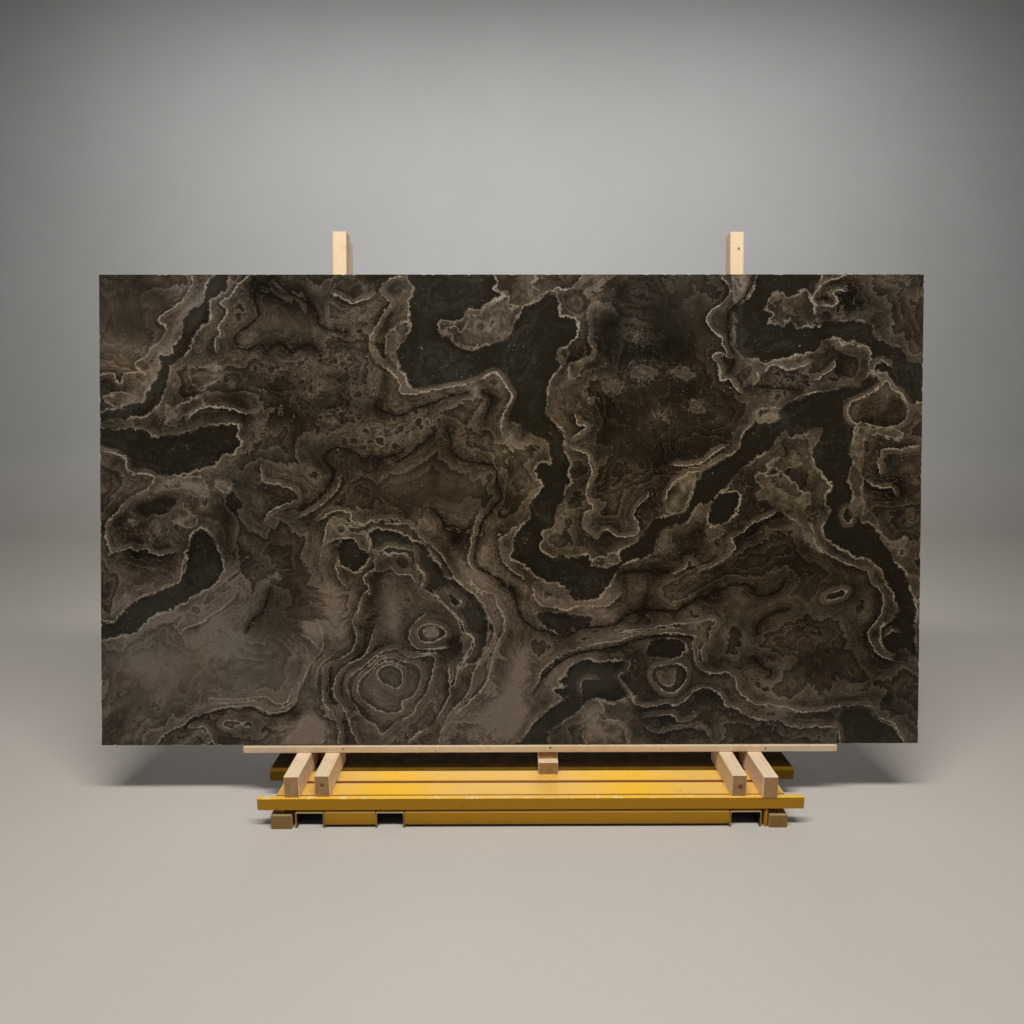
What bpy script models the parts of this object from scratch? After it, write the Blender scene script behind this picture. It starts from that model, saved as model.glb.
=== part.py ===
# A rough marble slab standing on edge, leaning on the timber and steel stand that carries it.
# Metres, +Z up. The polished face looks along -Y and leans back towards +Y.
# The origin is on the floor, at the centre of the footprint.

import math
import random

import bmesh
import bpy
from mathutils import Vector

# Clear space left between pieces that touch
CLEARANCE = 0.0003

# Slab: sawn from the block slightly out of square
SLAB_WIDTH = 3.000
SLAB_HEIGHT = 1.718
SLAB_THICKNESS = 0.020
SLAB_LEAN = math.radians(8.62)
SLAB_RACK = 0.004
EDGE_STEP = 0.030
EDGE_WAVE = 0.0006
ARRIS = 0.0014
CHIP_DEEP = 0.0055
CHIP_SHARE = 0.07
SLAB_SEED = 31

# Heights of the layers, from the floor up
SKID_HEIGHT = 0.0620
PACKING_THICK = 0.0088
DECK_HEIGHT = 0.0430
BEARER_HEIGHT = 0.0780
SILL_THICK = 0.0245

# Depths are counted back from the slab's lower front edge
STAND_FRONT = -0.178
STAND_BACK = 0.622
FRONT_RAIL_DEPTH = (-0.175, -0.157)
DECK_FRONT_DEPTH = (-0.1567, -0.071)
DECK_MIDDLE_DEPTH = (-0.068, 0.010)
DECK_FOOT_DEPTH = (0.012, 0.142)
DECK_BACK_DEPTH = (0.530, 0.618)
SILL_DEPTH = (-0.008, 0.084)
BEARER_BACK = 0.080
SKID_DEPTH = (-0.170, 0.622)
LOWER_RAIL_FRONT_DEPTH = (-0.158, -0.118)
LOWER_RAIL_BACK_DEPTH = (0.570, 0.610)
PACKING_DEPTH = (-0.150, 0.612)
END_BLOCK_DEPTH = (-0.176, -0.098)

# Widths along X
FRONT_RAIL_SPAN = (-0.881, 1.011)
DECK_SPAN = (-0.820, 0.950)
DECK_FOOT_SPAN = (-0.900, 1.050)
DECK_BACK_SPAN = (-0.840, 0.970)
SILL_SPAN = (-0.985, 1.195)
SKIDS = {"left": (-0.755, -0.652), "middle": (-0.477, -0.374), "right": (0.756, 0.869)}
RUNNER_SPAN = (0.8780, 0.8915)
END_BLOCKS = {"left": (-0.838, -0.765, 0.052), "right": (0.8935, 0.957, 0.048)}
WEDGE_SPAN = (-0.815, -0.794)
WEDGE_DEPTH = (-0.160, -0.120)
BEARERS = {
    "left_outer": (-0.788, -0.736, -0.168),
    "left_inner": (-0.684, -0.632, -0.163),
    "right_inner": (0.759, 0.810, -0.167),
    "right_outer": (0.864, 0.915, -0.178),
}
CENTRE_BLOCK_SPAN = (0.096, 0.168)
CENTRE_BLOCK_LOWER_HEIGHT = 0.0475

# Steel sections
CHANNEL_WALL = 0.005
SKID_WALL = 0.0065
CORNER_RADIUS = 0.010
CORNER_STEPS = 4
TUBE_SIDE = 0.050
BRACE_SIDE = 0.040
CROSSBAR_THICK = 0.019
CROSSBAR_HIGH = 0.060
CROSSBAR_SPAN = (-0.800, 0.930)

# Leaning frame: heights are counted up the slab from its foot
POSTS = {"left": (-0.656, -0.605), "right": (0.802, 0.852)}
POST_DEPTH = 0.058
POST_TOP = 1.880
PACKER_DEPTH = 0.050
PACKER_TOP = 1.868
MASTS = {"left": (-0.755, -0.705), "right": (0.835, 0.885)}
MAST_TOP = 1.470
CROSSBARS = {"low": 0.620, "high": 1.360}
BRACE_TOP = 1.280
BRACE_FOOT_DEPTH = 0.575
TIE_AT = 0.42
NUT_RADIUS = 0.0110
NUT_THICK = 0.0090

TIMBER_ARRIS = 0.0020
STEEL_ARRIS = 0.0010

# Colour, roughness and metallic value of each material
FINISHES = {
    "marble": ((0.040, 0.028, 0.018), 0.22, 0.0),
    "timber": ((0.700, 0.520, 0.330), 0.75, 0.0),
    "yellow_paint": ((0.760, 0.440, 0.035), 0.45, 0.0),
    "steel": ((0.420, 0.410, 0.390), 0.45, 1.0),
}


# Layer heights worked out from the sections
DECK_BASE = SKID_HEIGHT + CLEARANCE + PACKING_THICK + CLEARANCE
DECK_TOP = DECK_BASE + DECK_HEIGHT
BEARER_BASE = DECK_TOP + CLEARANCE
BEARER_TOP = BEARER_BASE + BEARER_HEIGHT
SILL_BASE = BEARER_TOP + CLEARANCE
SILL_TOP = SILL_BASE + SILL_THICK
# The slab stands on its lower back arris, so its front edge is a little higher
SLAB_FOOT = SILL_TOP + CLEARANCE + SLAB_THICKNESS * math.sin(SLAB_LEAN)
CENTRE_DEPTH = (STAND_FRONT + STAND_BACK) / 2

# Distances behind the polished face
POST_FRONT = SLAB_THICKNESS + CLEARANCE
CROSSBAR_FRONT = POST_FRONT + POST_DEPTH + CLEARANCE
MAST_FRONT = CROSSBAR_FRONT + CROSSBAR_THICK + CLEARANCE
MAST_BACK = MAST_FRONT + TUBE_SIDE


def clear_scene():
    for item in list(bpy.data.objects):
        bpy.data.objects.remove(item, do_unlink=True)


def make_materials():
    made = {}
    for name, (colour, roughness, metallic) in FINISHES.items():
        material = bpy.data.materials.new(name)
        material.use_nodes = True
        shader = material.node_tree.nodes["Principled BSDF"]
        shader.inputs["Base Color"].default_value = (*colour, 1.0)
        shader.inputs["Roughness"].default_value = roughness
        shader.inputs["Metallic"].default_value = metallic
        material.diffuse_color = (*colour, 1.0)
        made[name] = material
    return made


# A depth counted from the slab's foot, as the world's Y
def world_y(depth):
    return depth - CENTRE_DEPTH


# A point up the slab and behind its face, as depth and height
def behind_slab(up, back):
    depth = up * math.sin(SLAB_LEAN) + back * math.cos(SLAB_LEAN)
    height = SLAB_FOOT + up * math.cos(SLAB_LEAN) - back * math.sin(SLAB_LEAN)
    return depth, height


# How far up the slab a line at this distance behind it meets a height
def up_at_height(height, back):
    return (height - SLAB_FOOT + back * math.sin(SLAB_LEAN)) / math.cos(SLAB_LEAN)


def object_from(name, shape, material, arris=0.0):
    bmesh.ops.recalc_face_normals(shape, faces=shape.faces)
    mesh = bpy.data.meshes.new(name)
    shape.to_mesh(mesh)
    shape.free()
    piece = bpy.data.objects.new(name, mesh)
    piece.data.materials.append(MATERIALS[material])
    bpy.context.scene.collection.objects.link(piece)
    if arris > 0:
        bevel = piece.modifiers.new("Arris", "BEVEL")
        bevel.width = arris
        bevel.segments = 1
        bevel.limit_method = "ANGLE"
        bevel.angle_limit = math.radians(50)
    return piece


# A flat outline pushed along one axis
def prism(name, outline, axis, span, material, arris=0.0):
    shape = bmesh.new()
    near, far = span
    corners = []
    for first, second in outline:
        place = (near, first, second) if axis == "x" else (first, near, second)
        corners.append(shape.verts.new(place))
    cap = shape.faces.new(corners)
    grown = bmesh.ops.extrude_face_region(shape, geom=[cap])
    moved = [item for item in grown["geom"] if isinstance(item, bmesh.types.BMVert)]
    step = Vector((far - near, 0, 0)) if axis == "x" else Vector((0, far - near, 0))
    bmesh.ops.translate(shape, verts=moved, vec=step)
    return object_from(name, shape, material, arris)


def box(name, span, depth, heights, material, arris):
    low, high = heights
    front, back = world_y(depth[0]), world_y(depth[1])
    outline = [(front, low), (back, low), (back, high), (front, high)]
    return prism(name, outline, "x", span, material, arris)


# Outline of a channel with its open side down, walls down to the base
def channel_outline(low_side, high_side, base, top, wall):
    inner = CORNER_RADIUS - wall if CORNER_RADIUS > wall else 0.0
    outline = [(low_side, base)]
    for step in range(CORNER_STEPS + 1):
        turn = math.pi - step * math.pi / 2 / CORNER_STEPS
        outline.append((low_side + CORNER_RADIUS * (1 + math.cos(turn)),
                        top - CORNER_RADIUS * (1 - math.sin(turn))))
    for step in range(CORNER_STEPS + 1):
        turn = math.pi / 2 - step * math.pi / 2 / CORNER_STEPS
        outline.append((high_side - CORNER_RADIUS * (1 - math.cos(turn)),
                        top - CORNER_RADIUS * (1 - math.sin(turn))))
    outline.append((high_side, base))
    outline.append((high_side - wall, base))
    for step in range(CORNER_STEPS + 1):
        turn = step * math.pi / 2 / CORNER_STEPS
        outline.append((high_side - wall - inner * (1 - math.cos(turn)),
                        top - wall - inner * (1 - math.sin(turn))))
    for step in range(CORNER_STEPS + 1):
        turn = math.pi / 2 + step * math.pi / 2 / CORNER_STEPS
        outline.append((low_side + wall + inner * (1 + math.cos(turn)),
                        top - wall - inner * (1 - math.sin(turn))))
    outline.append((low_side + wall, base))
    return outline


# Corners of the slab, out of square: the top edge is shifted to the right
def slab_corners():
    half = SLAB_WIDTH / 2
    return [
        Vector((-half - SLAB_RACK, 0.0)),
        Vector((half - SLAB_RACK, 0.0)),
        Vector((half + SLAB_RACK, SLAB_HEIGHT + SLAB_RACK / 2)),
        Vector((-half + SLAB_RACK, SLAB_HEIGHT - SLAB_RACK / 2)),
    ]


# Points round the sawn outline, with each point's direction into the slab
def sawn_outline(chance):
    corners = slab_corners()
    middle = sum(corners, Vector((0.0, 0.0))) / len(corners)
    points = []
    for index, start in enumerate(corners):
        end = corners[(index + 1) % len(corners)]
        run = end - start
        count = round(run.length / EDGE_STEP)
        inward = Vector((-run.y, run.x)).normalized()
        if inward.dot(middle - start) < 0:
            inward.negate()
        for step in range(count):
            place = start + run * (step / count)
            if step == 0:
                points.append((place, (middle - start).normalized()))
            else:
                wave = chance.uniform(0, EDGE_WAVE)
                points.append((place + inward * wave, inward))
    return points


# How much is broken off the arris at each point: a little everywhere, more at a chip
def arris_widths(count, chance):
    widths = [ARRIS * chance.uniform(0.5, 1.2) for _ in range(count)]
    for index in range(count):
        if chance.random() < CHIP_SHARE:
            widths[index] = CHIP_DEEP * chance.uniform(0.5, 1.0)
    return widths


def build_slab():
    chance = random.Random(SLAB_SEED)
    points = sawn_outline(chance)
    face_cut = arris_widths(len(points), chance)
    back_cut = arris_widths(len(points), chance)
    shape = bmesh.new()

    def ring(places):
        loop = []
        for across, up, back in places:
            depth, height = behind_slab(up, back)
            loop.append(shape.verts.new((across, world_y(depth), height)))
        return loop

    face, front_side, back_side, rear = [], [], [], []
    for (place, inward), near_cut, far_cut in zip(points, face_cut, back_cut):
        near = place + inward * near_cut
        far = place + inward * far_cut
        face.append((near.x, near.y, 0.0))
        front_side.append((place.x, place.y, near_cut * 0.8))
        back_side.append((place.x, place.y, SLAB_THICKNESS - far_cut * 0.8))
        rear.append((far.x, far.y, SLAB_THICKNESS))
    rings = [ring(face), ring(front_side), ring(back_side), ring(rear)]
    shape.faces.new(rings[0])
    shape.faces.new(list(reversed(rings[-1])))
    for first, second in zip(rings, rings[1:]):
        for index in range(len(first)):
            follow = (index + 1) % len(first)
            shape.faces.new((first[index], second[index], second[follow], first[follow]))
    object_from("slab", shape, "marble")


def build_deck():
    box("front_rail", FRONT_RAIL_SPAN, FRONT_RAIL_DEPTH, (DECK_BASE, DECK_TOP),
        "yellow_paint", STEEL_ARRIS)
    decks = {
        "front": (DECK_SPAN, DECK_FRONT_DEPTH),
        "middle": (DECK_SPAN, DECK_MIDDLE_DEPTH),
        "foot": (DECK_FOOT_SPAN, DECK_FOOT_DEPTH),
        "back": (DECK_BACK_SPAN, DECK_BACK_DEPTH),
    }
    for place, (span, depth) in decks.items():
        outline = channel_outline(world_y(depth[0]), world_y(depth[1]),
                                  DECK_BASE, DECK_TOP, CHANNEL_WALL)
        prism("deck_channel_" + place, outline, "x", span, "yellow_paint")


def build_skids():
    depth = (world_y(SKID_DEPTH[0]), world_y(SKID_DEPTH[1]))
    for place, (low_side, high_side) in SKIDS.items():
        outline = channel_outline(low_side, high_side, 0.0, SKID_HEIGHT, SKID_WALL)
        prism("skid_channel_" + place, outline, "y", depth, "yellow_paint")
        inset = CORNER_RADIUS + 0.008
        box("packing_bar_" + place, (low_side + inset, high_side - inset), PACKING_DEPTH,
            (SKID_HEIGHT + CLEARANCE, DECK_BASE - CLEARANCE), "steel", STEEL_ARRIS)
    box("runner_bar_right", RUNNER_SPAN, SKID_DEPTH, (0.0, SKID_HEIGHT),
        "yellow_paint", STEEL_ARRIS * 4)


def build_lower_rails():
    bays = {
        "left": (SKIDS["left"][1] + CLEARANCE, SKIDS["middle"][0] - CLEARANCE),
        "middle": (SKIDS["middle"][1] + CLEARANCE, SKIDS["right"][0] - CLEARANCE),
    }
    for place, span in bays.items():
        box("lower_rail_front_" + place, span, LOWER_RAIL_FRONT_DEPTH, (0.0, SKID_HEIGHT),
            "yellow_paint", STEEL_ARRIS)
        box("lower_rail_back_" + place, span, LOWER_RAIL_BACK_DEPTH, (0.0, SKID_HEIGHT),
            "yellow_paint", STEEL_ARRIS)


def build_blocks():
    for place, (low_side, high_side, height) in END_BLOCKS.items():
        box("end_block_" + place, (low_side, high_side), END_BLOCK_DEPTH, (0.0, height),
            "timber", TIMBER_ARRIS)
    wedge_base = END_BLOCKS["left"][2] + CLEARANCE
    box("block_wedge", WEDGE_SPAN, WEDGE_DEPTH, (wedge_base, DECK_BASE - CLEARANCE),
        "yellow_paint", STEEL_ARRIS)
    lower_top = BEARER_BASE + CENTRE_BLOCK_LOWER_HEIGHT
    box("centre_block_lower", CENTRE_BLOCK_SPAN, (-0.024, 0.060), (BEARER_BASE, lower_top),
        "timber", TIMBER_ARRIS)
    box("centre_block_upper", CENTRE_BLOCK_SPAN, (0.002, 0.074),
        (lower_top + CLEARANCE, BEARER_TOP), "timber", TIMBER_ARRIS)


def build_bearers():
    for place, (low_side, high_side, front) in BEARERS.items():
        box("bearer_" + place, (low_side, high_side), (front, BEARER_BACK),
            (BEARER_BASE, BEARER_TOP), "timber", TIMBER_ARRIS)
    box("sill_board", SILL_SPAN, SILL_DEPTH, (SILL_BASE, SILL_TOP), "timber", TIMBER_ARRIS)


# Side view of a bar that leans with the slab: level foot, square top
def leaning_outline(front, back, foot, top):
    corners = [
        behind_slab(up_at_height(foot, front), front),
        behind_slab(up_at_height(foot, back), back),
        behind_slab(top, back),
        behind_slab(top, front),
    ]
    return [(world_y(depth), height) for depth, height in corners]


# Side view of a bar laid across the leaning pieces, square to the slab
def crosswise_outline(front, back, low, high):
    corners = [
        behind_slab(low, front),
        behind_slab(low, back),
        behind_slab(high, back),
        behind_slab(high, front),
    ]
    return [(world_y(depth), height) for depth, height in corners]


def build_posts():
    for place, span in POSTS.items():
        outline = leaning_outline(POST_FRONT, POST_FRONT + POST_DEPTH,
                                  SILL_TOP + CLEARANCE, POST_TOP)
        prism("back_post_" + place, outline, "x", span, "timber", TIMBER_ARRIS)
    packer_foot = CROSSBARS["high"] + CROSSBAR_HIGH + CLEARANCE
    outline = crosswise_outline(CROSSBAR_FRONT, CROSSBAR_FRONT + PACKER_DEPTH,
                                packer_foot, PACKER_TOP)
    prism("back_post_packer", outline, "x", POSTS["left"], "timber", TIMBER_ARRIS)


def build_masts():
    for place, span in MASTS.items():
        outline = leaning_outline(MAST_FRONT, MAST_BACK, BEARER_BASE, MAST_TOP)
        prism("mast_" + place, outline, "x", span, "yellow_paint", STEEL_ARRIS * 2)
    for place, low in CROSSBARS.items():
        outline = crosswise_outline(CROSSBAR_FRONT, CROSSBAR_FRONT + CROSSBAR_THICK,
                                    low, low + CROSSBAR_HIGH)
        prism("crossbar_" + place, outline, "x", CROSSBAR_SPAN, "yellow_paint", STEEL_ARRIS)


# A nut on the back of each crossbar behind each post
def build_nuts():
    for post, span in POSTS.items():
        for bar, low in CROSSBARS.items():
            across = (span[0] + span[1]) / 2
            if post == "right":
                across = MASTS["right"][0] - 2 * NUT_RADIUS
            start = CROSSBAR_FRONT + CROSSBAR_THICK + CLEARANCE
            shape = bmesh.new()
            near, far = [], []
            for side in range(6):
                turn = side * math.pi / 3
                sideways = across + NUT_RADIUS * math.cos(turn)
                up = low + CROSSBAR_HIGH / 2 + NUT_RADIUS * math.sin(turn)
                for back, loop in ((start, near), (start + NUT_THICK, far)):
                    depth, height = behind_slab(up, back)
                    loop.append(shape.verts.new((sideways, world_y(depth), height)))
            shape.faces.new(near)
            shape.faces.new(list(reversed(far)))
            for side in range(6):
                follow = (side + 1) % 6
                shape.faces.new((near[side], far[side], far[follow], near[follow]))
            object_from("post_bolt_" + post + "_" + bar, shape, "steel")


# Where the strut's axis runs, from the back of the mast to the back of the deck
def brace_axis():
    top = Vector(behind_slab(BRACE_TOP, MAST_BACK + CLEARANCE))
    foot = Vector((BRACE_FOOT_DEPTH, BEARER_BASE))
    return top, foot


# Side view of a strut: one end flat on the mast, the other flat on the deck
def brace_outline():
    top, foot = brace_axis()
    along = (foot - top).normalized()
    aside = Vector((-along.y, along.x)) * (BRACE_SIDE / 2)
    mast_line = Vector((math.sin(SLAB_LEAN), math.cos(SLAB_LEAN)))
    corners = []
    for side in (1, -1):
        start = top + aside * side
        # Slide along the strut until the corner is on the mast's back face
        off_mast = (start - top).cross(mast_line) / along.cross(mast_line)
        corners.append(start - along * off_mast)
    for side in (-1, 1):
        end = foot + aside * side
        # Slide along the strut until the corner is at the deck's height
        corners.append(end + along * ((foot.y - end.y) / along.y))
    return [(world_y(depth), height) for depth, height in corners]


def build_braces():
    outline = brace_outline()
    spans = {}
    for place, span in MASTS.items():
        middle = (span[0] + span[1]) / 2
        spans[place] = (middle - BRACE_SIDE / 2, middle + BRACE_SIDE / 2)
        prism("brace_" + place, outline, "x", spans[place], "yellow_paint", STEEL_ARRIS * 2)
    top, foot = brace_axis()
    centre = foot.lerp(top, TIE_AT)
    along = (top - foot).normalized() * (BRACE_SIDE / 2)
    aside = Vector((-along.y, along.x)) / 2
    corners = [centre - along - aside, centre + along - aside,
               centre + along + aside, centre - along + aside]
    tie = [(world_y(corner.x), corner.y) for corner in corners]
    prism("brace_tie", tie, "x", (spans["left"][1] + CLEARANCE, spans["right"][0] - CLEARANCE),
          "yellow_paint", STEEL_ARRIS)


clear_scene()
MATERIALS = make_materials()
build_slab()
build_deck()
build_skids()
build_lower_rails()
build_blocks()
build_bearers()
build_posts()
build_masts()
build_nuts()
build_braces()
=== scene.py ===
import math
import random

import bpy
import numpy as np
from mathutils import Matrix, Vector


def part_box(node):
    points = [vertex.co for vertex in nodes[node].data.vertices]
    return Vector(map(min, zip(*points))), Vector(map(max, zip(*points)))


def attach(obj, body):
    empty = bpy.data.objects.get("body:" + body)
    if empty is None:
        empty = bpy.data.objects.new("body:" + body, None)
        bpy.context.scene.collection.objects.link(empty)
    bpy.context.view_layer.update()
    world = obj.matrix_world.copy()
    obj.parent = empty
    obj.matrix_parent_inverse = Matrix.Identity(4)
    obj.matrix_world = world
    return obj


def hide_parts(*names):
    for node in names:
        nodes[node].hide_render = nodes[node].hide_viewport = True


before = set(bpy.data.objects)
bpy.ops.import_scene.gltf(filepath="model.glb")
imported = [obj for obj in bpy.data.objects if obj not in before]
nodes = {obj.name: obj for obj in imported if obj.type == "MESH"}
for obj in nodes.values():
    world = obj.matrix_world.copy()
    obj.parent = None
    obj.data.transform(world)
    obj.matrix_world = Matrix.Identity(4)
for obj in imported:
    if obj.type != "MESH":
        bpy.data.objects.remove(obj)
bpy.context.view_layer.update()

scene = bpy.context.scene
print("frame loaded:", len(nodes), "nodes")


# small helpers for modelling and for materials

def deselectAll():
    if bpy.context.object and bpy.context.object.mode != "OBJECT":
        bpy.ops.object.mode_set(mode="OBJECT")
    bpy.ops.object.select_all(action="DESELECT")


def newTree(name):
    material = bpy.data.materials.new(name)
    material.use_nodes = True
    tree = material.node_tree
    return material, tree, tree.nodes["Principled BSDF"]


def feed(tree, socket, value):
    if isinstance(value, (int, float)):
        socket.default_value = value
    elif isinstance(value, tuple):
        socket.default_value = (*value, 1.0) if len(socket.default_value) == 4 else value
    else:
        tree.links.new(value, socket)


def maths(tree, operation, first, second=0.0, third=None):
    node = tree.nodes.new("ShaderNodeMath")
    node.operation = operation
    feed(tree, node.inputs[0], first)
    feed(tree, node.inputs[1], second)
    if third is not None:
        feed(tree, node.inputs[2], third)
    return node.outputs[0]


def step(tree, value, low, high, start=0.0, end=1.0):  # eased step between two values
    node = tree.nodes.new("ShaderNodeMapRange")
    node.interpolation_type = "SMOOTHSTEP"
    for socket, item in (("Value", value), ("From Min", low), ("From Max", high),
                         ("To Min", start), ("To Max", end)):
        feed(tree, node.inputs[socket], item)
    return node.outputs["Result"]


def blend(tree, factor, under, over, kind="MIX"):
    node = tree.nodes.new("ShaderNodeMix")
    node.data_type = "RGBA"
    node.blend_type = kind
    feed(tree, node.inputs[0], factor)
    feed(tree, node.inputs[6], under)
    feed(tree, node.inputs[7], over)
    return node.outputs[2]


def ramp(tree, value, stops):  # colours along a value, each stop a place and a colour
    node = tree.nodes.new("ShaderNodeValToRGB")
    band = node.color_ramp
    while len(band.elements) < len(stops):
        band.elements.new(0.5)
    for element, (place, colour) in zip(band.elements, stops):
        element.position = place
        element.color = (*colour, 1)
    feed(tree, node.inputs["Fac"], value)
    return node.outputs["Color"]


def cloud(tree, coords, scale, detail=4.0, rough=0.5, distort=0.0):
    node = tree.nodes.new("ShaderNodeTexNoise")
    feed(tree, node.inputs["Vector"], coords)
    node.inputs["Scale"].default_value = scale
    node.inputs["Detail"].default_value = detail
    node.inputs["Roughness"].default_value = rough
    node.inputs["Distortion"].default_value = distort
    return node.outputs["Fac"]


def stretch(tree, coords, scale=(1, 1, 1), shift=(0, 0, 0), turn=(0, 0, 0)):
    node = tree.nodes.new("ShaderNodeMapping")
    feed(tree, node.inputs["Vector"], coords)
    node.inputs["Location"].default_value = shift
    node.inputs["Rotation"].default_value = turn
    node.inputs["Scale"].default_value = scale
    return node.outputs["Vector"]


def relief(tree, shader, height, strength, depth):
    node = tree.nodes.new("ShaderNodeBump")
    node.inputs["Strength"].default_value = strength
    node.inputs["Distance"].default_value = depth
    feed(tree, node.inputs["Height"], height)
    tree.links.new(node.outputs["Normal"], shader.inputs["Normal"])


def attribute(tree, name):
    node = tree.nodes.new("ShaderNodeAttribute")
    node.attribute_name = name
    return node.outputs["Fac"]


def paint(red, green, blue):  # screen colour 0-255 to the linear one
    def channel(value):
        value /= 255
        return value / 12.92 if value <= 0.04045 else ((value + 0.055) / 1.055) ** 2.4
    return (channel(red), channel(green), channel(blue))


# camera, light and floor
view = {
    "place": (-0.014, -2.594, 1.486),
    "turn": (80.44, 0, -0.32),
    "lens": 24.39,
    "world": 0.06,
    "keyPower": 205,
    "fillPower": 4,
    "rearPower": 34,
    "wallPower": 80,
    "wall": paint(214, 213, 211),
    "floor": paint(196, 189, 181),
    "floorSize": (160, 40),
    "floorMiddle": -14.4,
    "wallHigh": 9,
    "sweep": 0.9,
}


def buildView():
    camera = bpy.data.cameras.new("camera")
    camera.lens = view["lens"]
    camera.sensor_width = 36
    camera.clip_end = 120
    holder = bpy.data.objects.new("camera", camera)
    holder.location = view["place"]
    holder.rotation_euler = [math.radians(turn) for turn in view["turn"]]
    scene.collection.objects.link(holder)
    scene.camera = holder
    scene.view_settings.view_transform = "Standard"

    world = bpy.data.worlds.new("studio")
    world.use_nodes = True
    back = world.node_tree.nodes["Background"]
    back.inputs["Color"].default_value = (0.93, 0.96, 1.0, 1)
    back.inputs["Strength"].default_value = view["world"]
    scene.world = world

    def panel(name, place, target, size, power, tint, spread=180):
        lamp = bpy.data.lights.new(name, "AREA")
        lamp.shape = "RECTANGLE"
        lamp.size, lamp.size_y = size
        lamp.energy = power
        lamp.color = tint
        lamp.spread = math.radians(spread)
        item = bpy.data.objects.new(name, lamp)
        item.location = place
        item.rotation_euler = (Vector(target) - Vector(place)).to_track_quat("-Z", "Y").to_euler()
        item.visible_camera = False
        scene.collection.objects.link(item)

    panel("overhead panel", (0, -2.0, 4.3), (0, -0.3, 0.6), (3.4, 0.45), view["keyPower"], (1.0, 0.98, 0.95))
    panel("left panel", (-4.2, -2.4, 2.6), (0, 0, 0.9), (2.4, 2.4), view["fillPower"], (0.97, 0.98, 1.0))
    panel("right panel", (4.2, -2.4, 2.6), (0, 0, 0.9), (2.4, 2.4), view["fillPower"], (1.0, 0.98, 0.95))
    panel("rear panel", (0, 4.7, 1.1), (0, 0, 1.0), (3.6, 1.0), view["rearPower"], (1, 1, 1), 120)
    panel("wall panel", (0, 2.6, 5.6), (0, 5.6, 1.6), (9.0, 1.6), view["wallPower"], (1, 1, 1), 130)


def buildFloor():
    deselectAll()
    bpy.ops.mesh.primitive_plane_add(size=1, location=(0, 0, 0))
    stage = bpy.context.object
    stage.name = "studio_floor"
    bpy.ops.object.mode_set(mode="EDIT")
    bpy.ops.mesh.select_all(action="SELECT")
    bpy.ops.transform.resize(value=(*view["floorSize"], 1))
    bpy.ops.transform.translate(value=(0, view["floorMiddle"], 0))
    bpy.ops.mesh.select_all(action="DESELECT")
    bpy.ops.object.mode_set(mode="OBJECT")
    for edge in stage.data.edges:
        edge.select = all(stage.data.vertices[end].co.y > 5 for end in edge.vertices)
    bpy.ops.object.mode_set(mode="EDIT")
    bpy.ops.mesh.extrude_region_move(TRANSFORM_OT_translate={"value": (0, 0, view["wallHigh"])})
    bpy.ops.object.mode_set(mode="OBJECT")
    sweep = stage.modifiers.new("sweep", "BEVEL")
    sweep.width = view["sweep"]
    sweep.segments = 16
    bpy.ops.object.modifier_apply(modifier="sweep")
    bpy.ops.object.shade_smooth()

    material, tree, shader = newTree("studio floor")
    coords = tree.nodes.new("ShaderNodeTexCoord").outputs["Object"]
    apart = tree.nodes.new("ShaderNodeSeparateXYZ")
    tree.links.new(coords, apart.inputs[0])
    mottle = cloud(tree, coords, 1.3, 5, 0.55)
    tone = blend(tree, step(tree, apart.outputs["Z"], 0.0, 0.9), view["floor"], view["wall"])
    shade = blend(tree, step(tree, mottle, 0.3, 0.7, 0.0, 0.06), tone, paint(150, 145, 138))
    feed(tree, shader.inputs["Base Color"], shade)
    shader.inputs["Roughness"].default_value = 0.55
    stage.data.materials.append(material)


buildView()
buildFloor()
print("camera, light and floor set")


# the marble slab: its veins are strokes laid on the face, in centimetres
# across from the middle and up from the foot
slabShape = {
    "width": 3.0, "height": 1.718, "thick": 0.020, "lean": math.radians(8.62), "rack": 0.004,
    "foot": 0.220798, "footDepth": -0.222,
    "columns": 374, "rows": 214, "backColumns": 140, "backRows": 80,
    "arris": 0.0014, "backInset": 0.030,
    "chips": 230, "chip": 0.0042, "chipSize": (0.004, 0.011), "seed": 31,
    "chipShares": (0.33, 0.66, 0.83), "chipReach": 0.0035, "chipBack": 0.35,
    "fieldStep": 0.004, "reach": 0.12,
    "shade": 0.80, "gloss": (0.13, 0.22), "sawnRoughness": 0.78,
}

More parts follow.
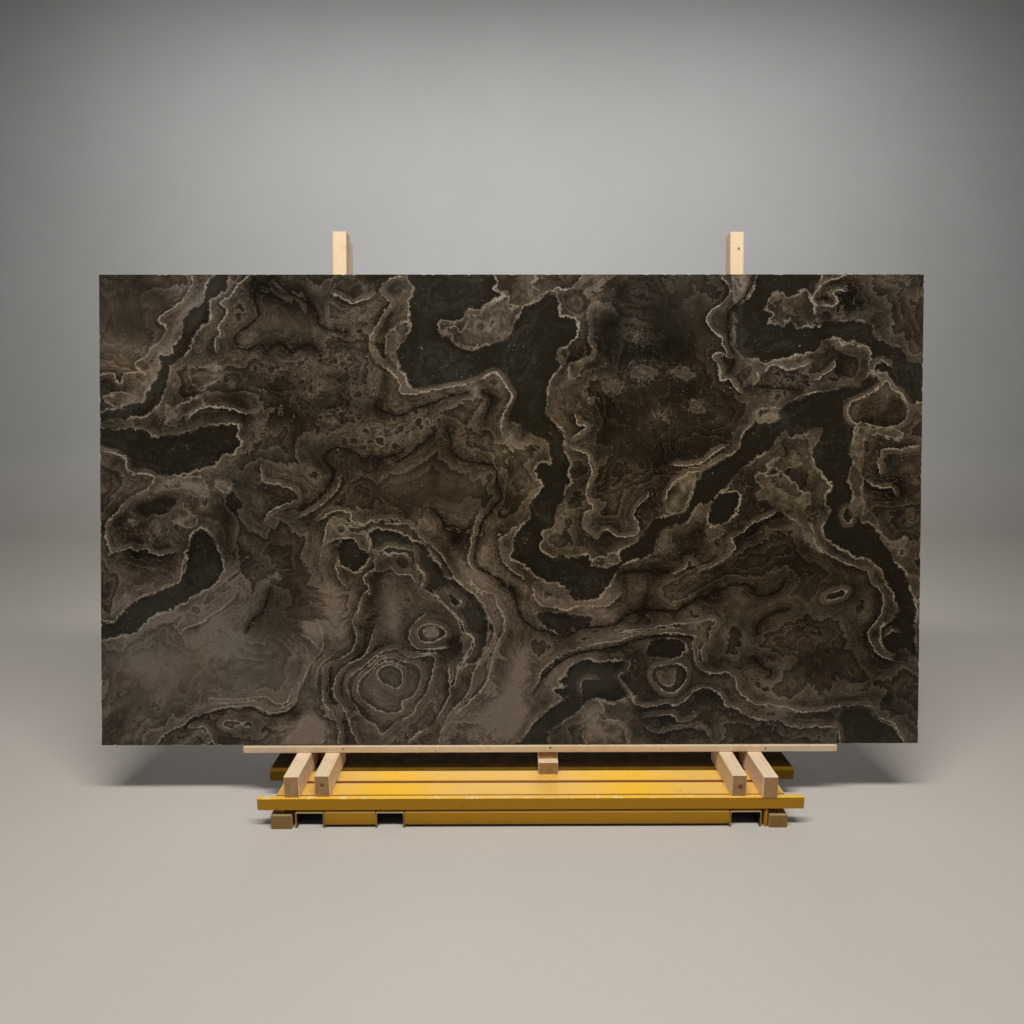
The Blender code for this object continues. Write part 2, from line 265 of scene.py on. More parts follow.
darkPools = {
    "leftDiagonal": [(-108, 172), (-111.5, 167), (-113, 162.5), (-117.5, 158.5), (-119.5, 155.5),
        (-120, 152), (-120.5, 149.5), (-123.5, 146), (-123, 144), (-125, 142.5), (-128, 142),
        (-128, 139.5), (-129, 134.5), (-131, 132), (-133, 129), (-135, 126), (-140, 125), (-144.5, 123),
        (-151, 121), (-151, 118), (-145.5, 119), (-140, 120), (-133.5, 121), (-128, 124.5), (-126.5, 129),
        (-124.5, 134), (-124, 138), (-119.5, 142), (-117.5, 145), (-116, 148.5), (-113.5, 152),
        (-110, 155), (-110, 160), (-109.5, 163), (-106.5, 164), (-103.5, 167), (-103.5, 173)],
    "lake": [(-151, 116.5), (-145.5, 115.5), (-140, 116), (-133.5, 115), (-130, 113), (-124, 114),
        (-118, 114.5), (-113, 117), (-110, 117), (-104, 117.5), (-100, 117), (-100, 113.5), (-99, 110),
        (-101.5, 107), (-106, 105.5), (-107.5, 102.5), (-115, 101), (-120, 99.5), (-125, 98.5),
        (-129, 99), (-133.5, 100), (-138, 100), (-140, 101.5), (-140.5, 105), (-143, 107), (-147, 108),
        (-151, 110.5)],
    "underArch": [(-139, 86.5), (-135, 89.5), (-130, 91), (-122.5, 91.5), (-121.5, 89), (-124, 86.5),
        (-126, 84.5), (-130, 85), (-133, 84), (-136, 85)],
    "lowPocket": [(-116, 78), (-112, 79), (-109, 77), (-108, 72), (-106, 69), (-105.5, 64), (-108, 60),
        (-112, 57), (-117, 55), (-119, 53), (-122, 51), (-125, 49), (-130, 48), (-134, 45), (-137, 42),
        (-143, 40), (-151, 39), (-151, 45.5), (-145.5, 45), (-143.5, 47), (-141, 50), (-137, 53.5),
        (-132, 55.5), (-127, 58), (-122, 59.5), (-120, 63), (-119, 68), (-117.5, 74)],
    "riverAndBasin": [(-36, 173), (-36, 166), (-38, 162), (-37.5, 157), (-38, 154.5), (-40.5, 153),
        (-39, 149.5), (-41.5, 146), (-43, 144), (-41.5, 139), (-39, 136), (-37.5, 132), (-35.5, 130),
        (-30.5, 129.5), (-24, 131), (-17.5, 132), (-11.5, 134), (-6.5, 136.5), (-4, 134), (-2, 131),
        (0, 128), (-1.5, 124.5), (-3, 121), (-4, 118), (0.5, 119), (3.5, 114), (2.5, 111), (6, 113),
        (9, 112.5), (12.5, 111.5), (13.5, 107), (14, 103.5), (10.5, 103.5), (9, 101.5), (9.5, 98),
        (11.5, 96), (10.5, 93), (8, 91), (7, 88), (7, 84), (4, 81.5), (2, 78.5), (0.5, 74.5), (0.5, 71.5),
        (-0.5, 70), (0, 68), (3.5, 67), (6.5, 64), (10, 61.5), (13, 59.5), (16.5, 59.5), (20, 57),
        (21.5, 54.5), (23, 53), (26.5, 53), (31, 53.5), (33.5, 56), (35.5, 58.5), (37.5, 62), (40.5, 66),
        (44.5, 68), (48.5, 68.5), (52.5, 71), (53.5, 75), (56.5, 78.5), (60, 80), (64, 81.5), (66, 85),
        (68.5, 88.5), (72, 89), (74.5, 92), (79, 94.5), (80, 97), (83.5, 100.5), (86, 103), (90, 106),
        (95, 108.5), (96.5, 111.5), (99.5, 114.5), (101, 113), (107, 114), (111.5, 116), (113.5, 115.5),
        (113, 113), (110.5, 109.5), (110, 104), (112.5, 100), (114.5, 97.5), (117, 94), (114.5, 90.5),
        (115, 87.5), (116.5, 85.5), (115, 81.5), (114, 78.5), (116, 74.5), (120, 72.5), (124, 71),
        (126, 68.5), (130, 68), (133.5, 66.5), (136, 63), (136.5, 60), (140, 56), (141, 52.5),
        (141.5, 48.5), (139.5, 45), (136, 42.5), (136, 38.5), (137, 35), (140, 33), (143.5, 35),
        (147.5, 32.5), (151, 30.5), (149, 35), (148, 43.5), (148.5, 51), (146.5, 57.5), (145, 62),
        (140, 68), (139.5, 71), (136.5, 74.5), (135, 77.5), (131, 81), (127.5, 83.5), (127, 86),
        (124.5, 89), (125.5, 91), (124.5, 94), (123, 97.5), (124, 99.5), (125, 103.5), (123.5, 107),
        (125, 112), (125.5, 116), (125, 117.5), (123, 119.5), (122.5, 122), (123.5, 125), (126.5, 126.5),
        (130, 128), (134, 130.5), (134.5, 133.5), (132, 135), (130, 135.5), (127.5, 133), (126.5, 131),
        (122.5, 131.5), (118, 130), (111, 129), (105, 126.5), (101, 125), (97, 122.5), (90, 122.5),
        (90, 119.5), (86.5, 116.5), (84, 113.5), (83, 110.5), (82, 107), (77.5, 104.5), (73, 102),
        (70, 100.5), (68.5, 98), (67, 96.5), (66, 92), (63.5, 86.5), (60.5, 85.5), (56.5, 84), (52.5, 83),
        (49.5, 80), (47.5, 77), (44.5, 73.5), (39.5, 71.5), (38.5, 67), (33.5, 65), (28.5, 67.5),
        (27.5, 70), (23, 69), (18, 69), (15, 68), (12, 70.5), (10, 73), (11.5, 76), (11, 78.5), (15, 80),
        (15.5, 82), (16.5, 86.5), (18.5, 89.5), (19.5, 93.5), (21, 96), (20, 100), (20.5, 104),
        (19.5, 108.5), (19, 113), (18.5, 114), (16.5, 116.5), (13.5, 119.5), (11.5, 122), (12.5, 125.5),
        (12.5, 129.5), (14, 135), (16, 137), (18, 140), (16.5, 144), (20, 146), (23, 150), (23.5, 154.5),
        (19, 157), (17, 156.5), (17, 162), (14.5, 165.5), (10, 162.5), (7.5, 161.5), (3.5, 160.5),
        (2.5, 157.5), (0, 153.5), (-0.5, 151), (-3, 148.5), (-6.5, 147), (-11.5, 146), (-14.5, 144.5),
        (-19, 145.5), (-22, 147.5), (-24, 149.5), (-27, 151.5), (-26, 155), (-21, 154.5), (-18, 156),
        (-16, 159), (-12, 159), (-10, 161.5), (-6.5, 163), (-3, 165), (-7, 166.5), (-5, 169), (-6, 173)],
    "upperRight": [(88.5, 173), (88.5, 169), (86.5, 164), (82.5, 161.5), (80, 159.5), (81, 155.5),
        (81, 150), (81.5, 145.5), (83.5, 142.5), (87, 141), (92.5, 140), (97, 141.5), (102, 142),
        (106, 143), (111.5, 145), (113.5, 148), (118, 149), (120.5, 147), (125.5, 147), (130.5, 144.5),
        (131, 141), (131, 137.5), (136, 136), (138.5, 132.5), (142.5, 128), (144.5, 124), (147.5, 125.5),
        (151, 127), (151, 138), (148, 140), (144.5, 141), (142, 144.5), (138, 146.5), (134, 147.5),
        (131.5, 150), (131.5, 153), (130, 153.5), (125, 155), (118, 155), (114, 154.5), (111.5, 152.5),
        (110, 160), (109, 163), (111, 167), (110, 173)],
    "besideRiver": [(73.5, 89), (76, 91.5), (80, 92.5), (82.5, 92.5), (83, 89), (82.5, 85), (79.5, 82),
        (75.5, 80.5), (72, 81), (72, 85)],
    "aboveEyes": [(-52.7, 77), (-48.7, 79), (-42.7, 78.5), (-38, 76), (-31.7, 73), (-30, 69), (-26.7, 66),
        (-23.7, 62), (-20, 60.5), (-13.7, 55), (-10, 50), (-8.7, 44.5), (-9, 38.5), (-11.7, 32),
        (-13.7, 30), (-19.7, 28), (-16.7, 32), (-13.7, 38.5), (-14.7, 40), (-17.7, 42), (-19, 45.5),
        (-22.7, 50), (-27.7, 54.5), (-32.7, 58), (-32, 62), (-36, 66), (-37, 70), (-43, 71), (-49, 70)],
    "leftShoulder": [(-62, 76), (-53, 77), (-52, 68), (-58, 64), (-63, 68)],
    "narrowLens": [(9.5, 47.5), (13, 49), (19.5, 48.5), (24.5, 48), (29, 46.5), (28.5, 44), (23.5, 42.5),
        (19, 40.5), (15.5, 41.5), (11.5, 44)],
    "slateHollow": [(2, -1), (5.5, 3.5), (7, 6), (9.5, 9.5), (13, 12.5), (16, 15), (19.5, 16.5),
        (16, 18.5), (15.5, 20.5), (19, 21), (17, 23), (19.5, 26), (21.5, 29), (25.5, 31), (29, 31.5),
        (31, 30.5), (36, 30.5), (43.5, 29.5), (42.5, 27), (39, 25), (41.5, 22), (44.5, 17.5), (38, 15),
        (33, 17), (27, 16), (25, 12), (20, 9), (14, 4), (12, -1)],
    "eyeHood": [(49.5, 36), (51.5, 38.5), (56.5, 39), (61, 38.5), (63.5, 36), (62.5, 33), (59.5, 31.5),
        (56.5, 32), (49.5, 32)],
    "footRight": [(121, 12), (125, 13), (129.5, 12.5), (132.5, 11.5), (134.5, 9), (137.5, 7),
        (141.5, 4.5), (143.5, -1), (121.5, -1), (120, 6)],
}

tanPatches = {
    "eyeSmall": [(-32.5, 41.5), (-31, 42.7), (-29, 43), (-27, 42), (-26.5, 41), (-28, 40), (-30, 39.5),
        (-31.5, 40)],
    "leftKnoll": [(-118, 135), (-118, 138), (-112, 138.5), (-109, 139.5), (-106, 137), (-105.5, 132.5),
        (-108, 134), (-110.5, 132), (-113.5, 130.5), (-116, 132)],
    "leftShelf": [(-126.5, 124.5), (-125.5, 118), (-123, 118), (-118, 121.5), (-112, 124.5), (-115, 127),
        (-120, 125), (-123, 123)],
    "leftBank": [(-148, 127), (-142, 129), (-138.5, 128.5), (-136, 126.5), (-140, 125), (-144.5, 123.5)],
    "island": [(-25.5, 152), (-22, 152), (-21, 153.5), (-19.5, 151), (-16.5, 153), (-16, 157), (-12, 157),
        (-10, 160), (-6.5, 161), (-2.5, 163.5), (-2, 161), (0, 159.5), (3, 160.5), (2, 157.5), (0, 153.5),
        (-0.5, 151), (-3, 148.5), (-6.5, 147), (-11.5, 146), (-14.5, 144.5), (-19, 145.5), (-21.5, 147.5),
        (-22, 149.5), (-25, 151.5)],
    "topMiddle": [(-6.5, 166.5), (-5, 169), (-6, 173), (7, 173), (8, 168), (10, 164.5), (7.5, 161.5),
        (3.5, 160.5), (0, 160), (-2, 161.5), (-2.5, 163.5)],
    "basinShore": [(-38, 154.5), (-43, 153), (-45, 150), (-46, 147.5), (-46, 144), (-44, 141), (-41, 139),
        (-43, 144), (-41.5, 146), (-39, 149), (-38, 151)],
    "topRight": [(80.5, 173), (87.5, 173), (87, 168), (86.5, 164), (84, 162), (81, 161.5)],
    "rightIsland": [(92.5, 159.5), (94.5, 164.5), (98, 165.5), (101, 163.5), (107, 165.5), (108.5, 163.5),
        (110, 161.5), (110, 153), (108, 152.5), (102.5, 153), (101, 155), (98.5, 152), (97.5, 154),
        (93, 153), (92.5, 155), (95, 157)],
    "arch": [(-130, 93.5), (-127.5, 96), (-124, 97.5), (-120, 98.5), (-115, 98), (-113, 98), (-112.5, 96),
        (-111, 91.5), (-115, 91.5), (-120, 92.5), (-124, 92.5), (-128, 91.5)],
    "archEnd": [(-107.5, 97.5), (-105, 97), (-103, 98), (-102, 95.5), (-103.5, 93), (-105.5, 92),
        (-107, 95)],
    "lowKnoll": [(-125, 83.5), (-123.5, 87), (-120, 89), (-119, 87), (-115.5, 84), (-115.5, 81.5),
        (-120, 80), (-122, 81.5)],
    "lensLeft": [(-140.5, 82), (-138, 83.5), (-135.5, 82), (-137, 81)],
    "lensLow": [(-132, 80), (-130, 83), (-127, 81), (-129, 77.5)],
    "tail": [(-66.5, 83), (-61, 82.5), (-60, 79), (-63, 77), (-65, 79)],
    "crustPale": [(16.2, 85), (18, 88), (22, 88), (22.5, 84.5), (19, 83)],
    "riverLens": [(56, 90), (58, 94), (61, 97.5), (64, 99.5), (67, 99), (66.5, 95.5), (65, 91), (63, 86),
        (59.5, 84.5), (56.5, 85), (56.5, 88)],
    "upperLens": [(90, 118), (92, 121.5), (97, 122), (97.5, 119), (93, 117.5)],
    "riverFoot": [(29.5, 66), (33, 69), (38.5, 70), (39.5, 67), (34, 65.5)],
    "besideLeft": [(16.5, 141), (17.5, 145), (20, 144), (19, 140.5)],
    "besideLow": [(20.5, 135), (22, 139.5), (25.5, 140), (25, 136), (22.5, 134)],
    "dot": [(27.5, 126), (28.5, 128), (30, 126.5), (29, 124.5)],
    "delta": [(88.5, 98.5), (92.5, 99), (97, 99.5), (100, 98.5), (102, 97), (105, 94), (109, 92),
        (109, 89), (107, 85), (108, 82), (110.5, 79), (111, 74), (113, 71), (109, 74), (105, 80),
        (100, 84), (95, 88), (90, 90), (88.5, 92), (91, 94), (90, 96)],
    "deltaTop": [(93.5, 102), (98, 106), (100, 105.5), (102, 108), (104, 107), (105.5, 102), (100, 101),
        (96, 101)],
    "rightBank": [(123.5, 84.5), (125, 92), (123.5, 98), (125, 104), (124, 109), (126, 116), (130, 116.5),
        (129, 108), (128.5, 100), (128, 92), (130, 84)],
    "rightShelf": [(126, 116), (134, 116), (142, 115.5), (142, 112), (134, 113), (127, 113.5)],
    "rightHook": [(135.5, 76.5), (139.5, 74.5), (143.5, 76), (144.5, 74.5), (143.5, 72.5), (139.5, 71),
        (137, 73.5)],
    "footLeft": [(-84.5, -1), (-80, 4.5), (-77.5, 7.5), (-74, 10.5), (-70, 9.5), (-68.5, 5.5), (-71, -1)],
    "shoulderPale": [(-77, 43), (-75, 46), (-71, 46), (-70, 42), (-73, 39.5)],
    "footMiddle": [(26.5, 12), (29, 15), (32.5, 15), (34, 12), (34, 9), (39, 8.5), (42.5, 7), (44.5, 4),
        (42, -1), (28.5, -1), (26.5, 6), (25, 8.5)],
}

# lines that show pale; a True at the end closes the ring
creamLines = [
    [(-116.5, 171.5), (-116, 168.5), (-118, 165.5), (-119.5, 162.5), (-123, 160), (-126, 158),
     (-128.5, 155), (-125.5, 152.5), (-128, 147.5), (-131.5, 145), (-133, 142.5), (-137, 140),
     (-136.5, 138), (-134, 136.5), (-140.5, 136), (-141.5, 133.5), (-142.5, 132), (-144, 133.5),
     (-144.5, 135.5), (-147.5, 136), (-150, 135)],
    [(-96, 171), (-99.5, 168), (-102, 164.5), (-106, 161.5), (-103.5, 159), (-105, 155.5), (-107, 153),
     (-106.5, 150), (-108.5, 148), (-108, 145)],
    [(-117, 120.5), (-115, 122.5), (-111.5, 124), (-106.5, 123.5), (-102, 123), (-100, 122), (-95.5, 121),
     (-93, 122)],
    [(-40.5, 171), (-42, 171), (-44.5, 170), (-47, 168), (-48, 166), (-47.5, 164.5), (-45.5, 163),
     (-44, 161), (-46.5, 158.5), (-48.5, 155), (-50, 152), (-51.5, 149), (-52, 146), (-51, 142.5),
     (-49, 139.5), (-45.5, 137.5), (-42.5, 134.5), (-41, 132), (-40.5, 129), (-36, 128.5), (-30.5, 129.5),
     (-24, 131), (-17.5, 132), (-11.5, 134), (-6.5, 136.5), (-4, 134.5), (-2, 131), (0, 128),
     (-1.5, 124.5), (-3, 121), (-4, 118), (-4, 114.5)],
    [(-65, 164.5), (-61.5, 163), (-58, 161.5), (-55, 162.5), (-52.5, 163), (-50.5, 164.5)],
    [(25, 171), (22.5, 168), (20, 166), (16.5, 167), (15, 166)],
    [(31.5, 169.5), (26.5, 166), (27, 163.5), (29, 162), (27.5, 159.5), (27.5, 154.5), (28, 151),
     (27.5, 147.5), (29, 145.5), (29, 143), (26, 141), (23.5, 140)],
    [(23, 119.5), (24, 117.5), (27, 116.5), (23, 113)],
    [(76.5, 170.5), (78.5, 167.5), (79, 164.5), (75.5, 160.5), (72.5, 159), (70.5, 155.5), (72, 152.5),
     (74.5, 150), (76.5, 148.5), (76.5, 146), (78, 143.5), (77.5, 142), (79.5, 141.5)],
    [(76.5, 143.5), (73, 142.5), (74.5, 139.5), (76, 137), (76, 133.5)],
    [(74.5, 140), (75.5, 136), (76.5, 133), (79, 134), (81, 131), (82.5, 129.5)],
    [(89, 132.5), (91, 135), (95, 139), (98, 138), (101, 137), (104, 138), (108, 139.5)],
    [(111.5, 134), (113.5, 135), (117, 137.5), (117.5, 139)],
    [(108.5, 163), (110, 161), (113.5, 160.5), (118, 160.5), (118, 163.5), (116, 164.5), (118, 166),
     (120.5, 166)],
    [(111.5, 167), (113.5, 169), (120.5, 171)],
    [(-150, 108.5), (-147, 107.5), (-143, 106.5), (-140.5, 104.5), (-140.5, 102), (-138, 99.5),
     (-132.5, 99.5), (-130, 98), (-131.5, 95), (-135, 92.5), (-139.5, 90.5), (-142.5, 87), (-145.5, 84),
     (-148, 81), (-148, 76), (-146.5, 71)],
    [(-146, 70), (-142.5, 71.5), (-138.5, 73), (-137.5, 71.5), (-134, 72.5), (-131, 70.5), (-127.5, 70),
     (-124, 71)],
    [(-130, 56), (-126.5, 58), (-123, 59.5), (-121, 60.5), (-120.5, 64.5), (-120, 67)],
    [(-91.5, 100.5), (-91, 96.5), (-87.5, 96), (-83.5, 95), (-80, 94), (-78, 91.5), (-78.5, 89.5),
     (-83, 88), (-87.5, 86), (-89.5, 83.5)],
    [(1.5, 80), (-3, 76.5), (-4, 77), (-4.5, 72), (-3.5, 68), (0.5, 64), (3.5, 61.5)],
    [(-76.5, 84), (-72.5, 86), (-69, 88.5), (-65.5, 91.5), (-63, 95), (-62.5, 97.5)],
    [(-69.5, 83), (-66.5, 85), (-63.5, 86), (-60, 85.5), (-58.5, 84), (-59, 82.5), (-54, 81),
     (-51.5, 82.5), (-48.5, 82.5), (-44.5, 83), (-41.5, 82.5)],
    [(-59.5, 80), (-54, 80), (-52, 82), (-48.5, 81.5), (-44.5, 81), (-39.5, 81), (-37, 80.5), (-32.5, 75),
     (-30, 73.5), (-27.5, 71.5), (-24.5, 68), (-22, 64), (-20, 60.5), (-16.5, 57.5)],
    [(-67, 81.5), (-68, 78), (-69, 73), (-70, 68.5)],
    [(-64, 66), (-63.5, 62), (-61.5, 59.5)],
    [(-67.5, 74.5), (-63, 76), (-59.5, 76), (-57, 75.5), (-56, 73.5), (-52.5, 70.5), (-52.5, 73.5),
     (-53.5, 78)],
    [(-49, 71), (-46.5, 72), (-45, 73), (-40.5, 72), (-36, 71), (-35, 66), (-32.5, 63.5), (-31.5, 61),
     (-33, 58.5)],
    [(-50, 64), (-46.5, 64), (-44, 65), (-41.5, 62.5), (-37.5, 63), (-35.5, 60.5)],
    [(-50, 69), (-50.5, 65), (-54, 62), (-53.5, 59.5), (-52, 56.5)],
    [(-12, 85), (-14, 80), (-15, 73.5), (-16, 68), (-14, 64.5)],
    [(22, 108.5), (24.5, 107.5), (27.5, 106), (28.5, 102.5), (29.5, 99.5), (27.5, 95), (27.5, 90),
     (30, 87), (27, 85), (26, 80), (28.5, 77.5), (31.5, 76), (34.5, 79), (39, 76.5), (45, 77), (46.5, 81),
     (44.5, 84), (46.5, 88), (49.5, 91.5)],
    [(56, 90), (56.5, 92.5), (59, 96), (62.5, 98.5), (65, 100), (68, 100), (71.5, 102), (76.5, 104.5)],
    [(60, 102.5), (64, 102.5), (70, 103.5), (73, 106.5), (76.5, 108.5)],
    [(60, 63), (63.5, 65), (65, 68), (67, 66)],
    [(110, 79), (111, 74.5), (113, 71.5), (117.5, 69), (122.5, 66.5), (127.5, 64.5), (131, 63), (132, 59),
     (135, 57), (136.5, 52.5), (135.5, 47.5), (132, 42.5), (131, 40), (132.5, 37), (135, 33), (139, 31)],
    [(70, 64), (74.5, 66), (77.5, 67.5), (80, 70), (82, 72.5), (80, 75.5), (82, 76.5), (85, 78), (88, 81),
     (92.5, 83), (95.5, 84.5)],
    [(148, 109), (142.5, 108), (140, 108), (135, 108.5), (135.5, 106.5), (134, 103.5), (134.5, 100.5)],
    [(131, 96), (134.5, 94), (138.5, 94), (140, 92.5)],
    [(-110, 17), (-102.5, 17), (-95, 17.5), (-90, 18), (-87.5, 16), (-84.5, 15), (-82, 16), (-80.5, 19.5),
     (-78.5, 23)],
    [(-130, 0), (-127.5, 3.5), (-124, 6), (-120, 7.5), (-117.5, 10), (-110, 12.5), (-105, 14),
     (-97.5, 14.5), (-94, 14.5), (-90, 12.5), (-86.5, 11.5), (-82.5, 13), (-79.5, 15), (-78, 20),
     (-75.5, 25.5), (-73.5, 30), (-70, 34), (-69, 38), (-70, 42.5)],
    [(-117, 6.5), (-113, 7), (-111, 5), (-109, 0.5)],
    [(-120, 0.5), (-114.5, 4), (-112, 0.5)],
    [(-76, 40), (-73, 38.5), (-71, 36.5)],
    [(-120.5, 42), (-117.5, 44), (-113.5, 45), (-110, 48), (-106.5, 50), (-103.5, 52.5), (-101, 55),
     (-100, 58.5)],
    [(-71.5, 22), (-71, 27.5), (-69, 31), (-66.5, 32.5)],
    [(-53.5, 60), (-52, 57), (-54.5, 55), (-56, 50), (-58, 45), (-56.5, 40), (-57.5, 36), (-60, 33),
     (-66.5, 30.5), (-69, 28), (-69, 24), (-69, 17.5), (-68.5, 15), (-65, 11), (-63.5, 6), (-63.5, 0)],
    [(-50.5, 41.5), (-53.5, 33), (-59, 30), (-63.5, 26), (-65, 21), (-64, 17), (-61, 12.5), (-59, 7),
     (-56.5, 1)],
    [(-48, 34), (-42.5, 35.5), (-40.5, 34), (-37, 32), (-33.5, 32.5), (-28.5, 32.5), (-28.5, 28),
     (-29.5, 23), (-31.5, 18.5), (-34.5, 14.5), (-35.5, 11.5), (-39.5, 9.5), (-43.5, 7), (-47.5, 3.5),
     (-49.5, 7), (-54.5, 10), (-57, 14), (-59.5, 17.5), (-60, 22.5), (-59, 25.5), (-55.5, 28),
     (-51.5, 31), True],
    [(-48.5, 31), (-44, 32), (-39.5, 30.5), (-34, 29), (-33, 25), (-34, 21), (-36.5, 17.5), (-40, 16),
     (-40, 12.5), (-44.5, 11.5), (-49.5, 13), (-51.5, 14.5), (-55, 17), (-56.5, 21), (-54.5, 25),
     (-51.5, 28), True],
    [(-49, 27.5), (-44.5, 29.5), (-40.5, 27.5), (-40, 22.5), (-42, 20.5), (-45.5, 22), (-48.5, 24), True],
    [(-34.5, 41.5), (-32.5, 44), (-30, 44.5), (-26, 43.5), (-23.5, 41), (-26, 39), (-30, 37.5),
     (-33.5, 38.5), True],
    [(-32.5, 47.5), (-36.5, 43.5), (-37.5, 39), (-35, 36), (-30, 35), (-24.5, 35.5)],
    [(-23, 27.5), (-22.5, 22), (-23, 17), (-26, 11.5), (-29, 7), (-34, 4), (-37.5, 1)],
    [(-28, 55.5), (-24, 51), (-21, 48), (-18.5, 45), (-17, 41.5), (-14.5, 40), (-13.5, 38), (-14.5, 34),
     (-17, 31.5), (-19, 28), (-21, 22)],
    [(-24, 57), (-20.5, 54.5), (-18, 52), (-21.5, 51), (-23, 53.5), True],
    [(-18.5, 60), (-15.5, 56.5), (-11, 53), (-8.5, 47), (-6.5, 43.5), (-6.5, 40), (-8, 36), (-11.5, 31),
     (-14, 25.5), (-15, 21), (-17, 17), (-20.5, 13.5), (-23.5, 9.5), (-25.5, 4.5), (-26.5, 1)],
    [(-14.5, 60), (-11.5, 57), (-6.5, 55), (-4.5, 50), (-2.5, 45.5), (-3, 41.5), (-5, 38), (-6.5, 33),
     (-9, 23), (-14, 17), (-19, 12)],
    [(8, 57), (8.5, 53.5), (11, 51), (16.5, 50.5), (20, 49.5), (24.5, 51), (31.5, 50.5), (36, 51.5),
     (39, 54)],
    [(40, 41), (44.5, 42.5), (49.5, 42.5), (55, 43.5), (61.5, 44.5), (68.5, 45), (74, 46), (75, 44.5),
     (73, 41.5), (72.5, 38), (70, 35.5), (70, 31.5)],
    [(7.5, 19.5), (10, 23), (11, 26.5), (14, 30), (18, 32.5), (22, 34.5), (26.5, 35.5), (31.5, 37),
     (39, 38), (44, 40), (49.5, 40.5), (55.5, 41), (60.5, 41), (65.5, 40), (68, 40), (66.5, 37),
     (67, 33.5), (68, 29), (71.5, 26.5), (75, 26), (79.5, 26), (82.5, 24), (83.5, 20), (86.5, 17),
     (90, 14.5), (95, 14.5), (101, 13.5), (106.5, 12), (114.5, 12), (118.5, 13.5), (122.5, 14), (130, 14),
     (133.5, 13), (135, 10), (137.5, 8.5), (141, 7), (142.5, 4.5), (144.5, 1)],
    [(1.5, 1), (5.5, 3.5), (7, 6), (9.5, 9.5), (13, 12.5), (16, 15), (19.5, 16.5), (16, 18.5),
     (15.5, 20.5), (19, 21), (17, 23), (19.5, 26), (21.5, 29), (25.5, 31), (28.5, 31.5), (31, 30.5)],
    [(44.5, 17.5), (41.5, 22), (39, 25), (40.5, 26), (42.5, 27), (43.5, 29.5)],
    [(25.5, 20.5), (25.5, 23), (27.5, 24.5), (30.5, 24)],
    [(51.5, 25.5), (52.5, 28), (55, 29), (61.5, 29.5), (64, 28), (64.5, 25), (63, 21.5), (60, 19),
     (57, 19), (53.5, 21.5), True],
    [(53.5, 25.5), (54.5, 23), (57, 21.5), (59.5, 22), (60, 26)],
    [(44.5, 17.5), (45.5, 15), (48.5, 14), (52, 14), (56, 15), (60.5, 14.5), (65, 17), (67, 19.5),
     (70, 20.5), (75, 19.5), (77.5, 17.5), (78.5, 14.5), (82.5, 13), (87, 10.5), (91, 9), (98, 9),
     (101, 7.5), (104.5, 6), (113, 6.5), (116.5, 6), (120, 6), (121, 1)],
    [(50.5, 5.5), (54, 4), (58, 5), (65.5, 6), (70.5, 6), (72.5, 3.5)],
    [(50.5, 10), (53.5, 10.5), (59.5, 10.5), (61, 8.5), (64, 8), (67.5, 10)],
    [(-105.5, 8), (-104, 9), (-101.5, 9), (-99, 8), (-97.5, 8.8), (-95.5, 8.8), (-94, 7.8), (-95.5, 6.8),
     (-97.5, 6.8), (-99, 7.6), (-101.5, 6.5), (-104, 6.5), True],
    [(121, 84), (122, 86.5), (123.5, 87), (125, 84.5), (124.5, 81.5), (122.5, 81), True],
    [(115, 53), (115.5, 55), (118, 56), (122.5, 57), (122.5, 55), (118.5, 53), True],
    [(138.6, 40.6), (139.6, 41.4), (140.6, 41.2)],
    [(89, 135.5), (90, 136.7), (91.2, 135.5), (90, 134.3), True],
    [(-64, 79), (-62.5, 81), (-60.5, 79.5), (-62, 77.5), True],
    [(132, 136), (132.6, 139), (135, 140.4), (137, 139)],
    [(122.5, 122), (123.5, 125), (126.5, 126.5), (130, 128), (134, 130.5), (137, 133), (138.5, 130.5),
     (142.5, 128), (144.5, 124), (145, 121.5), (144, 118.5), (140, 116.5), (135, 116), (129, 117.5),
     (125, 117.5), (123, 119.5), True],
    [(142, 70), (143, 72), (144.5, 70.5), (143, 69), True],
]

